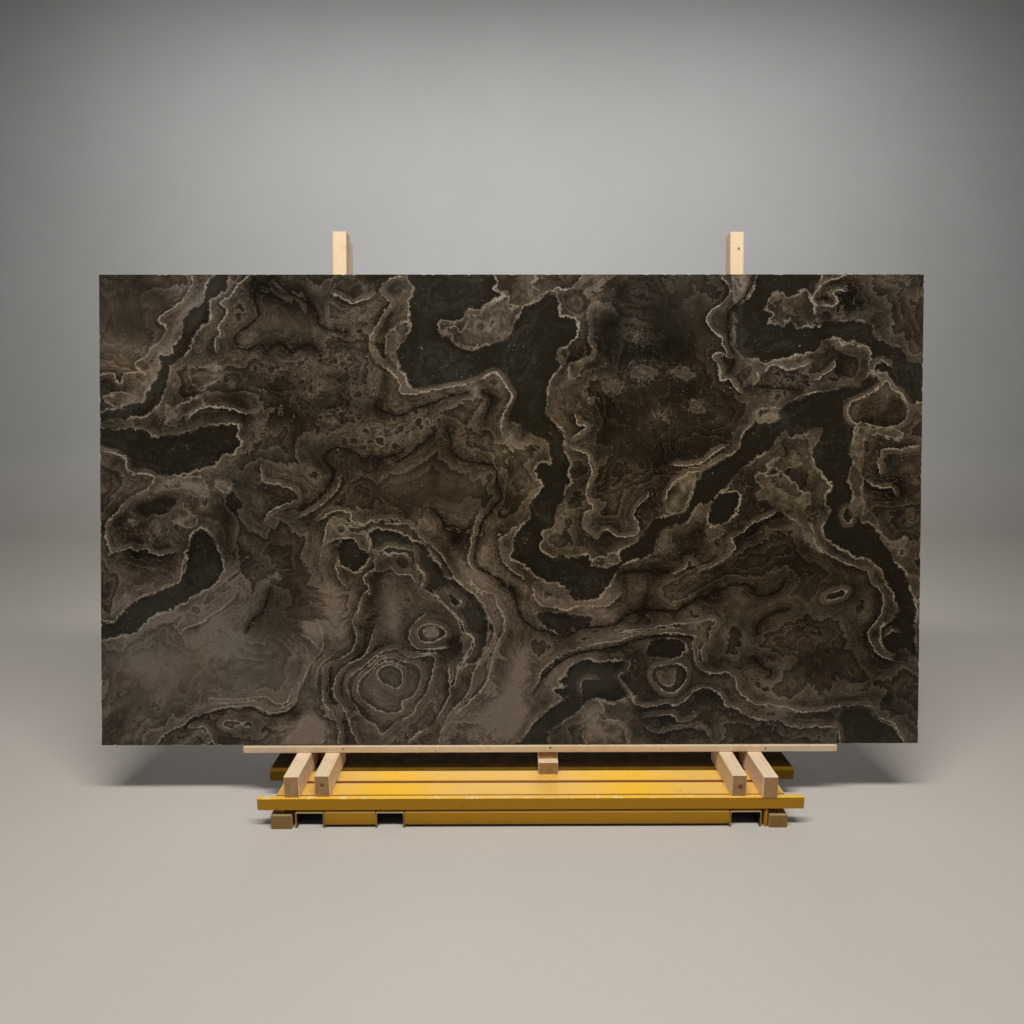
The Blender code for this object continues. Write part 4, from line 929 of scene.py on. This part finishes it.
def marbleColour(tree, coords):  # the veined colour and its fine grain
    names = ("pool", "patch", "cream", "creamNear", "seam", "seamNear", "flow", "tone", "warm", "calm",
             "crust", "cells")
    field = {name: attribute(tree, name) for name in names}

    def stone(red, green, blue):  # a screen colour made up for the strong lamp
        return tuple(part * slabShape["shade"] for part in paint(red, green, blue))

    colours = {
        "deep": stone(20, 15, 8), "dark": stone(38, 31, 21), "mid": stone(78, 68, 55),
        "tan": stone(106, 93, 78), "pale": stone(134, 120, 103), "cream": stone(160, 147, 129),
        "pool": stone(33, 29, 20), "poolLight": stone(50, 46, 38),
    }

    def noise(scale, detail, roughness, distort=0.0, shift=0.0):
        moved = stretch(tree, coords, (1, 1, 1), (shift, 1, shift))
        return cloud(tree, moved, scale, detail, roughness, distort)

    def centred(value):
        return maths(tree, "SUBTRACT", value, 0.5)

    def times(first, second):
        return maths(tree, "MULTIPLY", first, second)

    def plus(value, amount, total):
        return maths(tree, "MULTIPLY_ADD", value, amount, total)

    def close(value, place, wide, narrow=0.0):  # 1 where the value is near the place
        return step(tree, maths(tree, "ABSOLUTE", maths(tree, "SUBTRACT", value, place)), wide, narrow)

    shove = centred(noise(9, 4, 0.55))
    ragged = centred(noise(46, 7, 0.72))
    crinkle = centred(noise(105, 4, 0.65, 0.0, 5))
    crag = centred(noise(19, 8, 0.7, 0.4, 3))
    fine = noise(120, 4, 0.6)
    broad = noise(1.9, 4, 0.55, 0.8)
    middling = noise(6.5, 5, 0.58, 0.6)
    steady = maths(tree, "SUBTRACT", 1.0, times(field["calm"], 0.75))
    fading = noise(3.6, 4, 0.55, 0.3, 12)
    gaps = step(tree, noise(6, 5, 0.65, 0.0, 8), 0.42, 0.60)
    crisp = step(tree, fading, 0.28, 0.46)

    def rough(distance, large, small):  # a stroke's distance with a broken edge
        bent = plus(times(ragged, steady), small, plus(times(shove, steady), large, distance))
        return plus(crinkle, small * 0.5, bent)

    # layers: each its own tone, shaded across, with a crisp crinkled edge; they run beside the strokes
    # and turn into loose plates further away
    near = step(tree, field["flow"], 0.10, 0.004)
    lively = maths(tree, "SUBTRACT", 1.0, times(field["calm"], 0.82))
    drift = noise(3.3, 6, 0.60, 0.5, 6)
    level = plus(crinkle, 0.40, plus(ragged, 0.75, plus(field["flow"], 22.0, times(drift, 11.0))))
    part = maths(tree, "FRACT", level)
    layer = tree.nodes.new("ShaderNodeTexWhiteNoise")
    layer.noise_dimensions = "1D"
    feed(tree, layer.inputs["W"], maths(tree, "FLOOR", level))
    layerTone = plus(centred(part), 0.36, times(centred(layer.outputs["Value"]), 0.42))
    thin = plus(field["flow"], 66.0, times(middling, 8.0))
    thinPart = maths(tree, "FRACT", plus(crinkle, 0.4, plus(ragged, 0.5, thin)))
    thinTone = times(centred(thinPart), near)

    # ground colour
    light = plus(centred(broad), 0.6, maths(tree, "ADD", field["tone"], 0.47))
    light = plus(times(centred(middling), lively), 1.15, light)
    light = plus(times(layerTone, lively), 1.0, light)
    light = plus(thinTone, 0.20, light)
    light = plus(times(ragged, lively), 0.27, light)
    light = plus(times(crinkle, lively), 0.13, light)
    base = ramp(tree, light, [
        (0.04, stone(22, 18, 11)), (0.27, stone(37, 31, 22)), (0.46, stone(54, 46, 35)),
        (0.63, stone(73, 63, 50)), (0.82, stone(95, 83, 70)), (1.0, stone(122, 108, 93)),
    ])
    green = step(tree, noise(3.1, 5, 0.6, 0.0, 4), 0.46, 0.64, 0.0, 0.5)
    base = blend(tree, green, base, (0.84, 0.95, 0.95), "MULTIPLY")
    rust = step(tree, noise(4.3, 5, 0.6, 0.0, 9), 0.53, 0.7, 0.0, 0.5)
    base = blend(tree, rust, base, (1.06, 0.92, 0.82), "MULTIPLY")
    edge = times(step(tree, part, 0.955, 0.985), times(gaps, lively))
    base = blend(tree, times(edge, 0.80), base, colours["pale"])
    under = times(step(tree, part, 0.10, 0.01), times(step(tree, crag, -0.08, 0.08), lively))
    base = blend(tree, times(under, 0.80), base, colours["deep"])
    thinEdge = times(step(tree, thinPart, 0.90, 0.97), times(times(gaps, near), step(tree, crag, 0.0, 0.12)))
    base = blend(tree, times(thinEdge, 0.65), base, colours["tan"])

    # broken ground: small shards with crisp rims
    shard = plus(crinkle, 0.5, plus(ragged, 1.2, times(noise(9, 5, 0.62, 0.6, 11), 12.0)))
    shardPart = maths(tree, "FRACT", shard)
    broken = step(tree, plus(crag, 1.0, maths(tree, "MAXIMUM", field["cells"], field["crust"])), 0.15, 0.55)
    base = blend(tree, times(broken, step(tree, shardPart, 0.45, 0.0, 0.0, 0.75)), base, colours["dark"])
    base = blend(tree, times(broken, step(tree, shardPart, 0.55, 0.95, 0.0, 0.45)), base, colours["tan"])
    shardEdge = times(times(broken, gaps), step(tree, shardPart, 0.90, 0.96, 0.0, 0.75))
    base = blend(tree, shardEdge, base, colours["pale"])

    # cells: dark pores with pale walls
    pores = tree.nodes.new("ShaderNodeTexVoronoi")
    feed(tree, pores.inputs["Vector"], coords)
    pores.inputs["Scale"].default_value = 23.0
    poreGap = plus(crinkle, 0.5, plus(ragged, 0.9, pores.outputs["Distance"]))
    poreMask = step(tree, plus(crag, 1.6, field["cells"]), 0.45, 0.6)
    base = blend(tree, times(poreMask, step(tree, poreGap, 0.62, 0.5, 0.0, 0.6)), base, colours["mid"])
    base = blend(tree, times(poreMask, step(tree, poreGap, 0.36, 0.28, 0.0, 0.85)), base, colours["dark"])
    wall = times(close(poreGap, 0.40, 0.07), gaps)
    base = blend(tree, times(poreMask, times(wall, 0.8)), base, colours["pale"])

    # spiky crusts
    spikes = plus(centred(noise(17, 7, 0.7, 0.7)), 2.6, field["crust"])
    base = blend(tree, step(tree, spikes, 0.62, 0.70, 0.0, 0.55), base, colours["mid"])
    base = blend(tree, step(tree, spikes, 0.85, 1.15, 0.0, 0.6), base, colours["tan"])
    rim = times(close(spikes, 0.66, 0.05), step(tree, field["crust"], 0.15, 0.5))
    base = blend(tree, times(rim, 0.6), base, colours["pale"])

    # dark pools: crisp crusted shores in some stretches, in others the colour dissolves
    mottle = plus(layerTone, 0.9, plus(ragged, 1.1, middling))
    patchy = step(tree, noise(9, 5, 0.7, 0.0, 2), 0.38, 0.58, 0.05, 1.0)
    pool = plus(crag, 0.052, rough(field["pool"], 0.018, 0.034))
    bankTone = step(tree, plus(ragged, 0.8, middling), 0.36, 0.62, 0.08, 0.50)
    banks = times(step(tree, pool, 0.050, 0.0), bankTone)
    base = blend(tree, times(banks, step(tree, patchy, 0.0, 0.9, 0.45, 1.0)), base, colours["tan"])
    shallow = step(tree, plus(field["tone"], 2.0, mottle), 0.42, 1.0)
    water = blend(tree, shallow, colours["pool"], colours["poolLight"])
    water = blend(tree, times(close(pool, -0.013, 0.012, 0.002), times(gaps, 0.5)), water, colours["deep"])
    fleck = times(step(tree, plus(crinkle, 0.6, crag), 0.17, 0.22), step(tree, pool, -0.05, -0.01))
    water = blend(tree, times(fleck, 0.5), water, colours["mid"])
    shoreWidth = step(tree, crisp, 0.0, 1.0, 0.013, 0.0026)
    depth = maths(tree, "DIVIDE", pool, shoreWidth)
    base = blend(tree, step(tree, depth, 0.7, -1.3, 0.0, 0.96), base, water)
    strength = times(crisp, times(patchy, step(tree, fading, 0.36, 0.50, 0.35, 1.0)))
    lip = times(close(pool, 0.0022, 0.0048, 0.0010), strength)
    base = blend(tree, times(lip, 0.95), base, colours["cream"])

    # tan patches with a brighter rim
    patch = plus(crag, 0.062, rough(field["patch"], 0.018, 0.034))
    body = ramp(tree, plus(field["patch"], -4.0, maths(tree, "ADD", mottle, field["tone"])), [
        (0.20, stone(46, 38, 28)), (0.40, stone(66, 56, 44)),
        (0.62, stone(88, 77, 63)), (0.95, stone(128, 114, 98)),
    ])
    inPatch = maths(tree, "DIVIDE", patch, step(tree, crisp, 0.0, 1.0, 0.010, 0.0026))
    base = blend(tree, step(tree, inPatch, 1.0, -1.3, 0.0, 0.92), base, body)
    rim = times(close(patch, -0.001, 0.0050, 0.001), times(crisp, patchy))
    base = blend(tree, times(rim, 0.65), base, colours["cream"])

    # drawn lines
    def line(name, wobble, small, width, reach):
        across = maths(tree, "ABSOLUTE", rough(field[name], wobble, small))
        kept = step(tree, field[name + "Near"], reach, reach * 0.6)
        return times(step(tree, across, width, width * 0.25), kept)

    halo = step(tree, rough(field["seamNear"], 0.014, 0.05), 0.022, 0.002)
    base = blend(tree, times(halo, 0.45), base, colours["deep"])
    base = blend(tree, times(line("seam", 0.014, 0.034, 0.0052, 0.016), 0.95), base, colours["deep"])
    # a pale band lies on one side of each drawn line, a dark one on the other
    side = rough(field["cream"], 0.014, 0.034)
    kept = step(tree, field["creamNear"], 0.034, 0.020)
    lit = times(close(side, 0.009, 0.013, 0.001), kept)
    base = blend(tree, times(lit, step(tree, middling, 0.35, 0.6, 0.25, 0.6)), base, colours["tan"])
    unlit = times(close(side, -0.009, 0.010, 0.002), kept)
    base = blend(tree, times(times(unlit, gaps), 0.5), base, colours["deep"])
    cream = line("cream", 0.014, 0.034, 0.0031, 0.018)
    base = blend(tree, times(cream, step(tree, patchy, 0.0, 1.0, 0.25, 1.0)), base, colours["cream"])

    # browner and greyer stretches
    drifting = plus(centred(noise(5, 4, 0.6, 0.3, 15)), 1.2, field["warm"])
    base = blend(tree, step(tree, drifting, -0.1, 0.9), base, (1.05, 0.99, 0.87), "MULTIPLY")
    base = blend(tree, step(tree, drifting, 0.1, -0.8), base, (0.96, 1.0, 1.08), "MULTIPLY")

    # pale specks and fine grain
    speck = step(tree, noise(130, 2, 0.5, 0.0, 7), 0.69, 0.74)
    base = blend(tree, times(speck, step(tree, middling, 0.45, 0.62, 0.1, 0.8)), base, colours["cream"])
    base = blend(tree, step(tree, fine, 0.35, 0.7, 0.0, 0.18), base, colours["deep"])
    return base, fine


def marbleFace():
    material, tree, shader = newTree("marble polished")
    coords = tree.nodes.new("ShaderNodeTexCoord").outputs["Object"]
    colour, fine = marbleColour(tree, coords)
    feed(tree, shader.inputs["Base Color"], colour)
    gloss = step(tree, cloud(tree, coords, 14, 3, 0.5), 0.3, 0.7, *slabShape["gloss"])
    feed(tree, shader.inputs["Roughness"], gloss)
    shader.inputs["Specular IOR Level"].default_value = 0.22
    relief(tree, shader, fine, 0.05, 0.0003)
    return material


def marbleSawn():
    material, tree, shader = newTree("marble sawn")
    coords = tree.nodes.new("ShaderNodeTexCoord").outputs["Object"]
    colour, fine = marbleColour(tree, coords)
    # unpolished stone shows its veins under a grey bloom
    bloom = step(tree, cloud(tree, coords, 4.5, 5, 0.6), 0.30, 0.72, 0.38, 0.62)
    feed(tree, shader.inputs["Base Color"], blend(tree, bloom, colour, paint(132, 124, 112)))
    shader.inputs["Roughness"].default_value = slabShape["sawnRoughness"]
    relief(tree, shader, fine, 0.1, 0.0003)
    return material


buildMarble()


# the timber: growth rings round a pith line, so faces show grain and ends show arcs
timberLook = {
    "early": paint(235, 212, 180), "late": paint(214, 176, 132), "knot": paint(96, 56, 28),
    "endGrain": paint(167, 130, 89), "ringGap": 0.0042, "roughness": 0.72,
}
# grain direction, pith (the two other axes), knots (place, radius), how dark
timbers = {
    "sill_board": ("X", (-0.19, 0.262), [
        ((-0.62, -0.230, 0.2085), 0.0045), ((-0.28, -0.230, 0.200), 0.0035), ((0.14, -0.230, 0.212), 0.006),
        ((0.55, -0.230, 0.203), 0.0035), ((0.93, -0.230, 0.206), 0.005)], 0.16),
    "bearer_left_outer": ("Y", (-0.80, 0.09), [], 0.0),
    "bearer_left_inner": ("Y", (-0.640, 0.165), [((-0.657, -0.385, 0.158), 0.009)], 0.0),
    "bearer_right_inner": ("Y", (0.80, 0.135), [((0.789, -0.389, 0.150), 0.012)], 0.03),
    "bearer_right_outer": ("Y", (0.90, 0.22), [], 0.0),
    "centre_block_lower": ("Y", (0.13, 0.08), [], 0.10),
    "centre_block_upper": ("Y", (0.16, 0.20), [], 0.05),
    "end_block_left": ("Y", (-0.80, -0.03), [], 0.78),
    "end_block_right": ("Y", (0.92, 0.075), [], 0.78),
    "back_post_left": ("Z", (-0.66, -0.31), [((-0.61, 0.092, 2.02), 0.006)], 0.27),
    "back_post_right": ("Z", (0.87, -0.36), [((0.832, 0.074, 2.015), 0.008)], 0.27),
    "back_post_packer": ("Z", (-0.60, -0.20), [], 0.08),
}


def buildTimber(name, grain, pith, knots, dull):
    look = timberLook
    material, tree, shader = newTree("timber " + name.replace("_", " "))
    texture = tree.nodes.new("ShaderNodeTexCoord")
    coords = texture.outputs["Object"]
    lean = slabShape["lean"] if grain == "Z" else 0.0
    level = stretch(tree, coords, (1, 1, 1), (0, 0, 0), (lean, 0, 0))
    apart = tree.nodes.new("ShaderNodeSeparateXYZ")
    tree.links.new(level, apart.inputs[0])
    ends = [axis for axis in "XYZ" if axis != grain]
    along = {"X": (1, 0, 0), "Y": (0, 1, 0), "Z": (0, 0, 1)}[grain]
    slow = tuple(0.9 if part else 7.0 for part in along)
    quick = tuple(5.0 if part else 320.0 for part in along)
    broad = tuple(2.0 if part else 9.0 for part in along)
    sawn = tuple(130.0 if part else 4.0 for part in along)
    drift = maths(tree, "SUBTRACT", cloud(tree, stretch(tree, level, slow, pith + (1.0,)), 1.0, 4, 0.5), 0.5)
    first = maths(tree, "SUBTRACT", apart.outputs[ends[0]], pith[0])
    second = maths(tree, "SUBTRACT", apart.outputs[ends[1]], pith[1])
    radius = maths(tree, "SQRT", maths(tree, "ADD", maths(tree, "MULTIPLY", first, first),
                                       maths(tree, "MULTIPLY", second, second)))
    radius = maths(tree, "MULTIPLY_ADD", drift, 0.016, radius)
    masks = []
    for place, size in knots:
        gap = tree.nodes.new("ShaderNodeVectorMath")
        gap.operation = "DISTANCE"
        tree.links.new(coords, gap.inputs[0])
        gap.inputs[1].default_value = place
        uneven = maths(tree, "SUBTRACT", cloud(tree, coords, 160, 3, 0.5), 0.5)
        wobble = maths(tree, "MULTIPLY_ADD", uneven, size * 0.8, gap.outputs["Value"])
        masks.append(step(tree, wobble, size, size * 0.55))
        swell = step(tree, wobble, size * 3.2, size * 0.6)
        radius = maths(tree, "MULTIPLY_ADD", swell, size * 0.9, radius)
    rings = maths(tree, "FRACT", maths(tree, "DIVIDE", radius, look["ringGap"]))
    late = maths(tree, "MULTIPLY", step(tree, rings, 0.15, 0.82), step(tree, rings, 1.0, 0.90))
    fibre = cloud(tree, stretch(tree, level, quick, pith + (3.0,)), 1.0, 3, 0.6)
    blotch = cloud(tree, stretch(tree, level, broad, pith + (5.0,)), 1.0, 4, 0.6)
    grown = maths(tree, "MULTIPLY", late, step(tree, blotch, 0.3, 0.7, 0.15, 0.5))
    colour = blend(tree, grown, look["early"], look["late"])
    colour = blend(tree, step(tree, fibre, 0.40, 0.75, 0.0, 0.32), colour, look["late"])
    colour = blend(tree, step(tree, blotch, 0.50, 0.72, 0.0, 0.22), colour, paint(205, 170, 128))
    # cut ends drink in dirt and show the rings darker
    facing = tree.nodes.new("ShaderNodeVectorMath")
    facing.operation = "DOT_PRODUCT"
    tree.links.new(texture.outputs["Normal"], facing.inputs[0])
    facing.inputs[1].default_value = along if grain != "Z" else (0, math.sin(lean), math.cos(lean))
    end = step(tree, maths(tree, "ABSOLUTE", facing.outputs["Value"]), 0.80, 0.95)
    speckle = cloud(tree, coords, 420, 3, 0.7)
    cut = blend(tree, maths(tree, "MULTIPLY", late, 0.45), look["endGrain"], paint(140, 100, 64))
    cut = blend(tree, step(tree, speckle, 0.45, 0.75, 0.0, 0.4), cut, paint(120, 84, 52))
    clean = cloud(tree, coords, 38, 4, 0.6)
    cut = blend(tree, step(tree, clean, 0.45, 0.7, 0.0, 0.35), cut, paint(196, 160, 116))
    colour = blend(tree, end, colour, cut)
    for mask in masks:
        colour = blend(tree, maths(tree, "MULTIPLY", mask, 0.85), colour, look["knot"])
    if name == "sill_board":  # ragged fibres along its lower edge, darkened with painted shade in the tears
        frayed = cloud(tree, stretch(tree, coords, (30, 1, 60), (7, 0, 0)), 1.0, 4, 0.7)
        tornShade = step(tree, maths(tree, "MULTIPLY_ADD", frayed, -0.016, apart.outputs["Z"]), 0.1850, 0.1838)
        colour = blend(tree, maths(tree, "MULTIPLY", tornShade, 0.85), colour, paint(62, 42, 26))
    grime = step(tree, cloud(tree, coords, 26, 5, 0.65), 0.52, 0.78, dull, dull + 0.3)
    colour = blend(tree, grime, colour, paint(126, 97, 44))
    feed(tree, shader.inputs["Base Color"], colour)
    shader.inputs["Roughness"].default_value = look["roughness"]
    shader.inputs["Specular IOR Level"].default_value = 0.3
    saw = cloud(tree, stretch(tree, level, sawn, (2, 4, 6)), 1.0, 3, 0.6)
    height = maths(tree, "MULTIPLY_ADD", fibre, 0.8, maths(tree, "MULTIPLY", late, 0.35))
    height = maths(tree, "MULTIPLY_ADD", saw, 0.5, height)
    relief(tree, shader, height, 0.5, 0.0007)
    return material


for name, (grain, pith, knots, dull) in timbers.items():
    finish = buildTimber(name, grain, pith, knots, dull)
    nodes[name].data.materials.clear()
    nodes[name].data.materials.append(finish)
print("timber finished:", len(timbers), "pieces")


# the yellow steel: enamel over primer, chipped along its arrises
# among these colours are painted light and shade: the shadow under the slab, the shade inside the skids and
# below the rail bars, a darker copy of the paint for side faces, and a highlight on the rail bars' top edge
enamel = {
    "fresh": paint(240, 184, 4), "faded": paint(227, 183, 95), "paintedHighlight": paint(252, 216, 120),
    "dirty": paint(150, 105, 28), "seam": paint(112, 44, 18), "underSlabShadow": paint(30, 22, 7),
    "shaded": paint(168, 121, 0), "primer": paint(240, 214, 150), "rust": paint(84, 52, 26),
    "paintedShade": paint(34, 26, 16), "roughness": 0.42,
}
deckTop = 0.1144
skidTop = 0.0620
# which level carries a chipped arris, how faded the top is, how dirty
steelwork = {
    "front_rail": (deckTop, 0.6, 0.15), "deck_channel_front": (None, 1.0, 0.10),
    "deck_channel_middle": (None, 0.9, 0.12), "deck_channel_foot": (None, 0.1, 0.5),
    "deck_channel_back": (None, 0.5, 0.3),
    "skid_channel_left": (skidTop, 0.4, 0.35), "skid_channel_middle": (skidTop, 0.4, 0.35),
    "skid_channel_right": (skidTop, 0.4, 0.35), "runner_bar_right": (skidTop, 0.4, 0.35),
    "lower_rail_front_left": (skidTop, 0.35, 0.2), "lower_rail_front_middle": (skidTop, 0.35, 0.2),
    "lower_rail_back_left": (skidTop, 0.3, 0.3), "lower_rail_back_middle": (skidTop, 0.3, 0.3),
    "block_wedge": (None, 0.2, 0.1), "mast_left": (None, 0.3, 0.15), "mast_right": (None, 0.3, 0.15),
    "crossbar_low": (None, 0.3, 0.2), "crossbar_high": (None, 0.3, 0.2), "brace_left": (None, 0.3, 0.15),
    "brace_right": (None, 0.3, 0.15), "brace_tie": (None, 0.3, 0.2),
}


def buildEnamel(name, arris, faded, dirt):
    look = enamel
    material, tree, shader = newTree("enamel " + name.replace("_", " "))
    texture = tree.nodes.new("ShaderNodeTexCoord")
    coords = texture.outputs["Object"]
    apart = tree.nodes.new("ShaderNodeSeparateXYZ")
    tree.links.new(coords, apart.inputs[0])
    facing = tree.nodes.new("ShaderNodeSeparateXYZ")
    tree.links.new(texture.outputs["Normal"], facing.inputs[0])
    upward = step(tree, facing.outputs["Z"], 0.6, 0.95)
    wide = cloud(tree, stretch(tree, coords, (1.6, 4.0, 4.0)), 1.5, 5, 0.55)
    patch = cloud(tree, coords, 18, 6, 0.65)
    grit = cloud(tree, coords, 130, 5, 0.7)
    scratch = cloud(tree, stretch(tree, coords, (8, 60, 60), (3, 0, 0), (0, 0.35, 0.2)), 1.0, 4, 0.7)
    # the deck's paint is worn pale but for two brighter stretches
    bright = None
    for middle, half in ((-0.43, 0.20), (0.41, 0.30)):
        off = maths(tree, "ABSOLUTE", maths(tree, "SUBTRACT", apart.outputs["X"], middle))
        stretchOf = step(tree, maths(tree, "MULTIPLY_ADD", wide, 0.25, off), half + 0.16, 0.13)
        bright = stretchOf if bright is None else maths(tree, "MAXIMUM", bright, stretchOf)
    pale = step(tree, wide, 0.30, 0.62, 0.55, 1.0)
    pale = maths(tree, "MULTIPLY", maths(tree, "SUBTRACT", 1.0, bright), pale)
    pale = maths(tree, "MULTIPLY", pale, maths(tree, "MULTIPLY", upward, faded))
    colour = blend(tree, pale, look["fresh"], look["faded"])
    # faces that don't look up take a darker copy of the paint: painted shade
    colour = blend(tree, step(tree, facing.outputs["Z"], 0.55, 0.15), colour, look["shaded"])
    colour = blend(tree, step(tree, patch, 0.45, 0.75, 0.0, dirt), colour, look["dirty"])
    colour = blend(tree, step(tree, grit, 0.62, 0.75, 0.0, 0.35), colour, look["dirty"])
    colour = blend(tree, step(tree, scratch, 0.71, 0.76, 0.0, 0.5), colour, look["primer"])
    chipped = step(tree, maths(tree, "MULTIPLY_ADD", grit, 0.35, patch), 0.86, 0.90)
    colour = blend(tree, maths(tree, "MULTIPLY", chipped, 0.8), colour, look["rust"])
    if arris is not None:
        off = maths(tree, "ABSOLUTE", maths(tree, "SUBTRACT", apart.outputs["Z"], arris))
        worn = maths(tree, "MULTIPLY", step(tree, off, 0.0030, 0.0004),
                     step(tree, maths(tree, "MULTIPLY_ADD", grit, 0.6, patch), 0.84, 0.94))
        colour = blend(tree, worn, colour, look["primer"])
        core = maths(tree, "MULTIPLY", step(tree, off, 0.0026, 0.0004),
                     step(tree, maths(tree, "MULTIPLY_ADD", grit, 0.6, patch), 0.97, 1.02))
        colour = blend(tree, core, colour, look["rust"])
    # sawn ends are bare metal, dulled
    cutY = step(tree, maths(tree, "ABSOLUTE", facing.outputs["Y"]), 0.97, 0.995)
    if name.startswith("skid"):
        bare = blend(tree, step(tree, patch, 0.4, 0.65), paint(104, 86, 48), paint(140, 122, 80))
        rim = step(tree, apart.outputs["Z"], skidTop - 0.007, skidTop - 0.005)
        bare = blend(tree, rim, bare, paint(204, 184, 134))
        colour = blend(tree, maths(tree, "MULTIPLY", cutY, 0.85), colour, bare)
        # the inner faces of each skid channel go very dark: painted shade inside the channel
        inside = tree.nodes.new("ShaderNodeMath")
        inside.operation = "COMPARE"
        lowCorner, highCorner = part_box(name)
        wall = 0.003
        feed(tree, inside.inputs[0], apart.outputs["X"])
        inside.inputs[1].default_value = (lowCorner.x + highCorner.x) / 2
        inside.inputs[2].default_value = (highCorner.x - lowCorner.x) / 2 - wall
        under = step(tree, apart.outputs["Z"], skidTop - 0.002, skidTop - 0.004)
        hollowShade = maths(tree, "MULTIPLY", inside.outputs[0], under)
        hollowShade = maths(tree, "MULTIPLY", hollowShade, step(tree, cutY, 0.6, 0.3))
        colour = blend(tree, hollowShade, colour, look["paintedShade"])
    if name == "deck_channel_foot":  # painted shadow of the slab on this channel: dark, and darker towards the back
        behind = step(tree, apart.outputs["Y"], -0.205, -0.15)
        underSlabShade = blend(tree, behind, paint(88, 68, 16), look["underSlabShadow"])
        colour = blend(tree, step(tree, patch, 0.2, 0.8, 0.92, 0.99), colour, underSlabShade)
    elif name in ("deck_channel_front", "deck_channel_middle"):  # rust bleeds from the deck's seams
        seam = step(tree, maths(tree, "ABSOLUTE", facing.outputs["Y"]), 0.12, 0.45)
        colour = blend(tree, maths(tree, "MULTIPLY", seam, 0.92), colour, look["seam"])
    if name.startswith("rail_face"):  # a painted highlight along its upper arris, for light on the top edge
        paintedHighlight = step(tree, apart.outputs["Z"], skidTop - 0.0062, skidTop - 0.0048, 0.0, 0.95)
        colour = blend(tree, paintedHighlight, colour, look["paintedHighlight"])
    if name.startswith("lower_rail"):  # painted shadow: very dark below the bar on its face
        colour = blend(tree, step(tree, apart.outputs["Z"], 0.013, 0.011), colour, look["paintedShade"])
    # darker in patches towards the floor
    low = step(tree, apart.outputs["Z"], 0.030, 0.0)
    lowDarkening = maths(tree, "MULTIPLY", low, step(tree, patch, 0.3, 0.7, 0.1, 0.5))
    colour = blend(tree, lowDarkening, colour, paint(96, 78, 50))
    feed(tree, shader.inputs["Base Color"], colour)
    dullness = 0.45 if name == "deck_channel_foot" else 0.0  # less gloss on the channel under the slab
    feed(tree, shader.inputs["Roughness"], step(tree, grit, 0.3, 0.8, look["roughness"] + dullness - 0.06,
                                                look["roughness"] + dullness * 0.7 + 0.22))
    shader.inputs["Specular IOR Level"].default_value = 0.03 if dullness else 0.28
    height = maths(tree, "MULTIPLY_ADD", patch, 0.6, maths(tree, "MULTIPLY", grit, 0.4))
    relief(tree, shader, height, 0.35, 0.0006)
    return material


for name, (arris, faded, dirt) in steelwork.items():
    finish = buildEnamel(name, arris, faded, dirt)
    nodes[name].data.materials.clear()
    nodes[name].data.materials.append(finish)
print("steelwork finished:", len(steelwork), "pieces")


railFace = {
    "front": -0.3912, "back": -0.3805, "foot": 0.0115, "top": 0.0620, "round": 0.0022,
    "beads": 5, "bead": 0.0030, "beadFoot": 0.020, "beadGap": 0.0075,
}


def buildRailFace(name, rail):  # a flat bar on the front of a lower rail, tacked on at its ends
    low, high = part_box(rail)
    shape = railFace
    size = (high.x - low.x, shape["back"] - shape["front"], shape["top"] - shape["foot"])
    middle = ((low.x + high.x) / 2, (shape["front"] + shape["back"]) / 2, (shape["top"] + shape["foot"]) / 2)
    deselectAll()
    bpy.ops.mesh.primitive_cube_add(size=1)
    bar = bpy.context.object
    bar.name = name
    bpy.ops.object.mode_set(mode="EDIT")
    bpy.ops.transform.resize(value=size)
    bpy.ops.transform.translate(value=middle)
    bpy.ops.mesh.bevel(offset=shape["round"], segments=3)
    bpy.ops.object.mode_set(mode="OBJECT")
    chance = random.Random(name)
    for end, way in ((low.x, 1), (high.x, -1)):
        for count in range(shape["beads"]):
            up = shape["beadFoot"] + count * shape["beadGap"]
            place = (end + way * shape["bead"] * 0.5, middle[1], up)
            bpy.ops.mesh.primitive_uv_sphere_add(segments=10, ring_count=6, location=place,
                                                 radius=shape["bead"])
            bead = bpy.context.object
            bead.scale = (0.8, 2.2, chance.uniform(1.1, 1.5))
            bead.select_set(True)
            bpy.ops.object.transform_apply(location=True, scale=True)
            bar.select_set(True)
            bpy.context.view_layer.objects.active = bar
            bpy.ops.object.join()
            deselectAll()
    bar.select_set(True)
    bpy.ops.object.shade_smooth_by_angle(angle=math.radians(40))
    bar.data.materials.append(buildEnamel(name, skidTop, 0.6, 0.12))
    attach(bar, "root")


buildRailFace("rail_face_left", "lower_rail_front_left")
buildRailFace("rail_face_middle", "lower_rail_front_middle")
print("lower rails faced")


def buildBareSteel():
    material, tree, shader = newTree("bare steel")
    coords = tree.nodes.new("ShaderNodeTexCoord").outputs["Object"]
    stain = cloud(tree, coords, 30, 6, 0.65)
    grit = cloud(tree, coords, 220, 4, 0.65)
    colour = blend(tree, step(tree, stain, 0.40, 0.62), paint(126, 122, 115), paint(92, 58, 34))
    colour = blend(tree, step(tree, grit, 0.5, 0.75, 0.0, 0.4), colour, paint(60, 42, 30))
    feed(tree, shader.inputs["Base Color"], colour)
    feed(tree, shader.inputs["Metallic"], step(tree, stain, 0.58, 0.42, 0.1, 0.85))
    feed(tree, shader.inputs["Roughness"], step(tree, grit, 0.3, 0.7, 0.42, 0.68))
    relief(tree, shader, maths(tree, "ADD", stain, grit), 0.4, 0.0006)
    return material


bareSteel = buildBareSteel()
for name, item in nodes.items():
    if name.startswith(("packing_bar", "post_bolt")):
        item.data.materials.clear()
        item.data.materials.append(bareSteel)
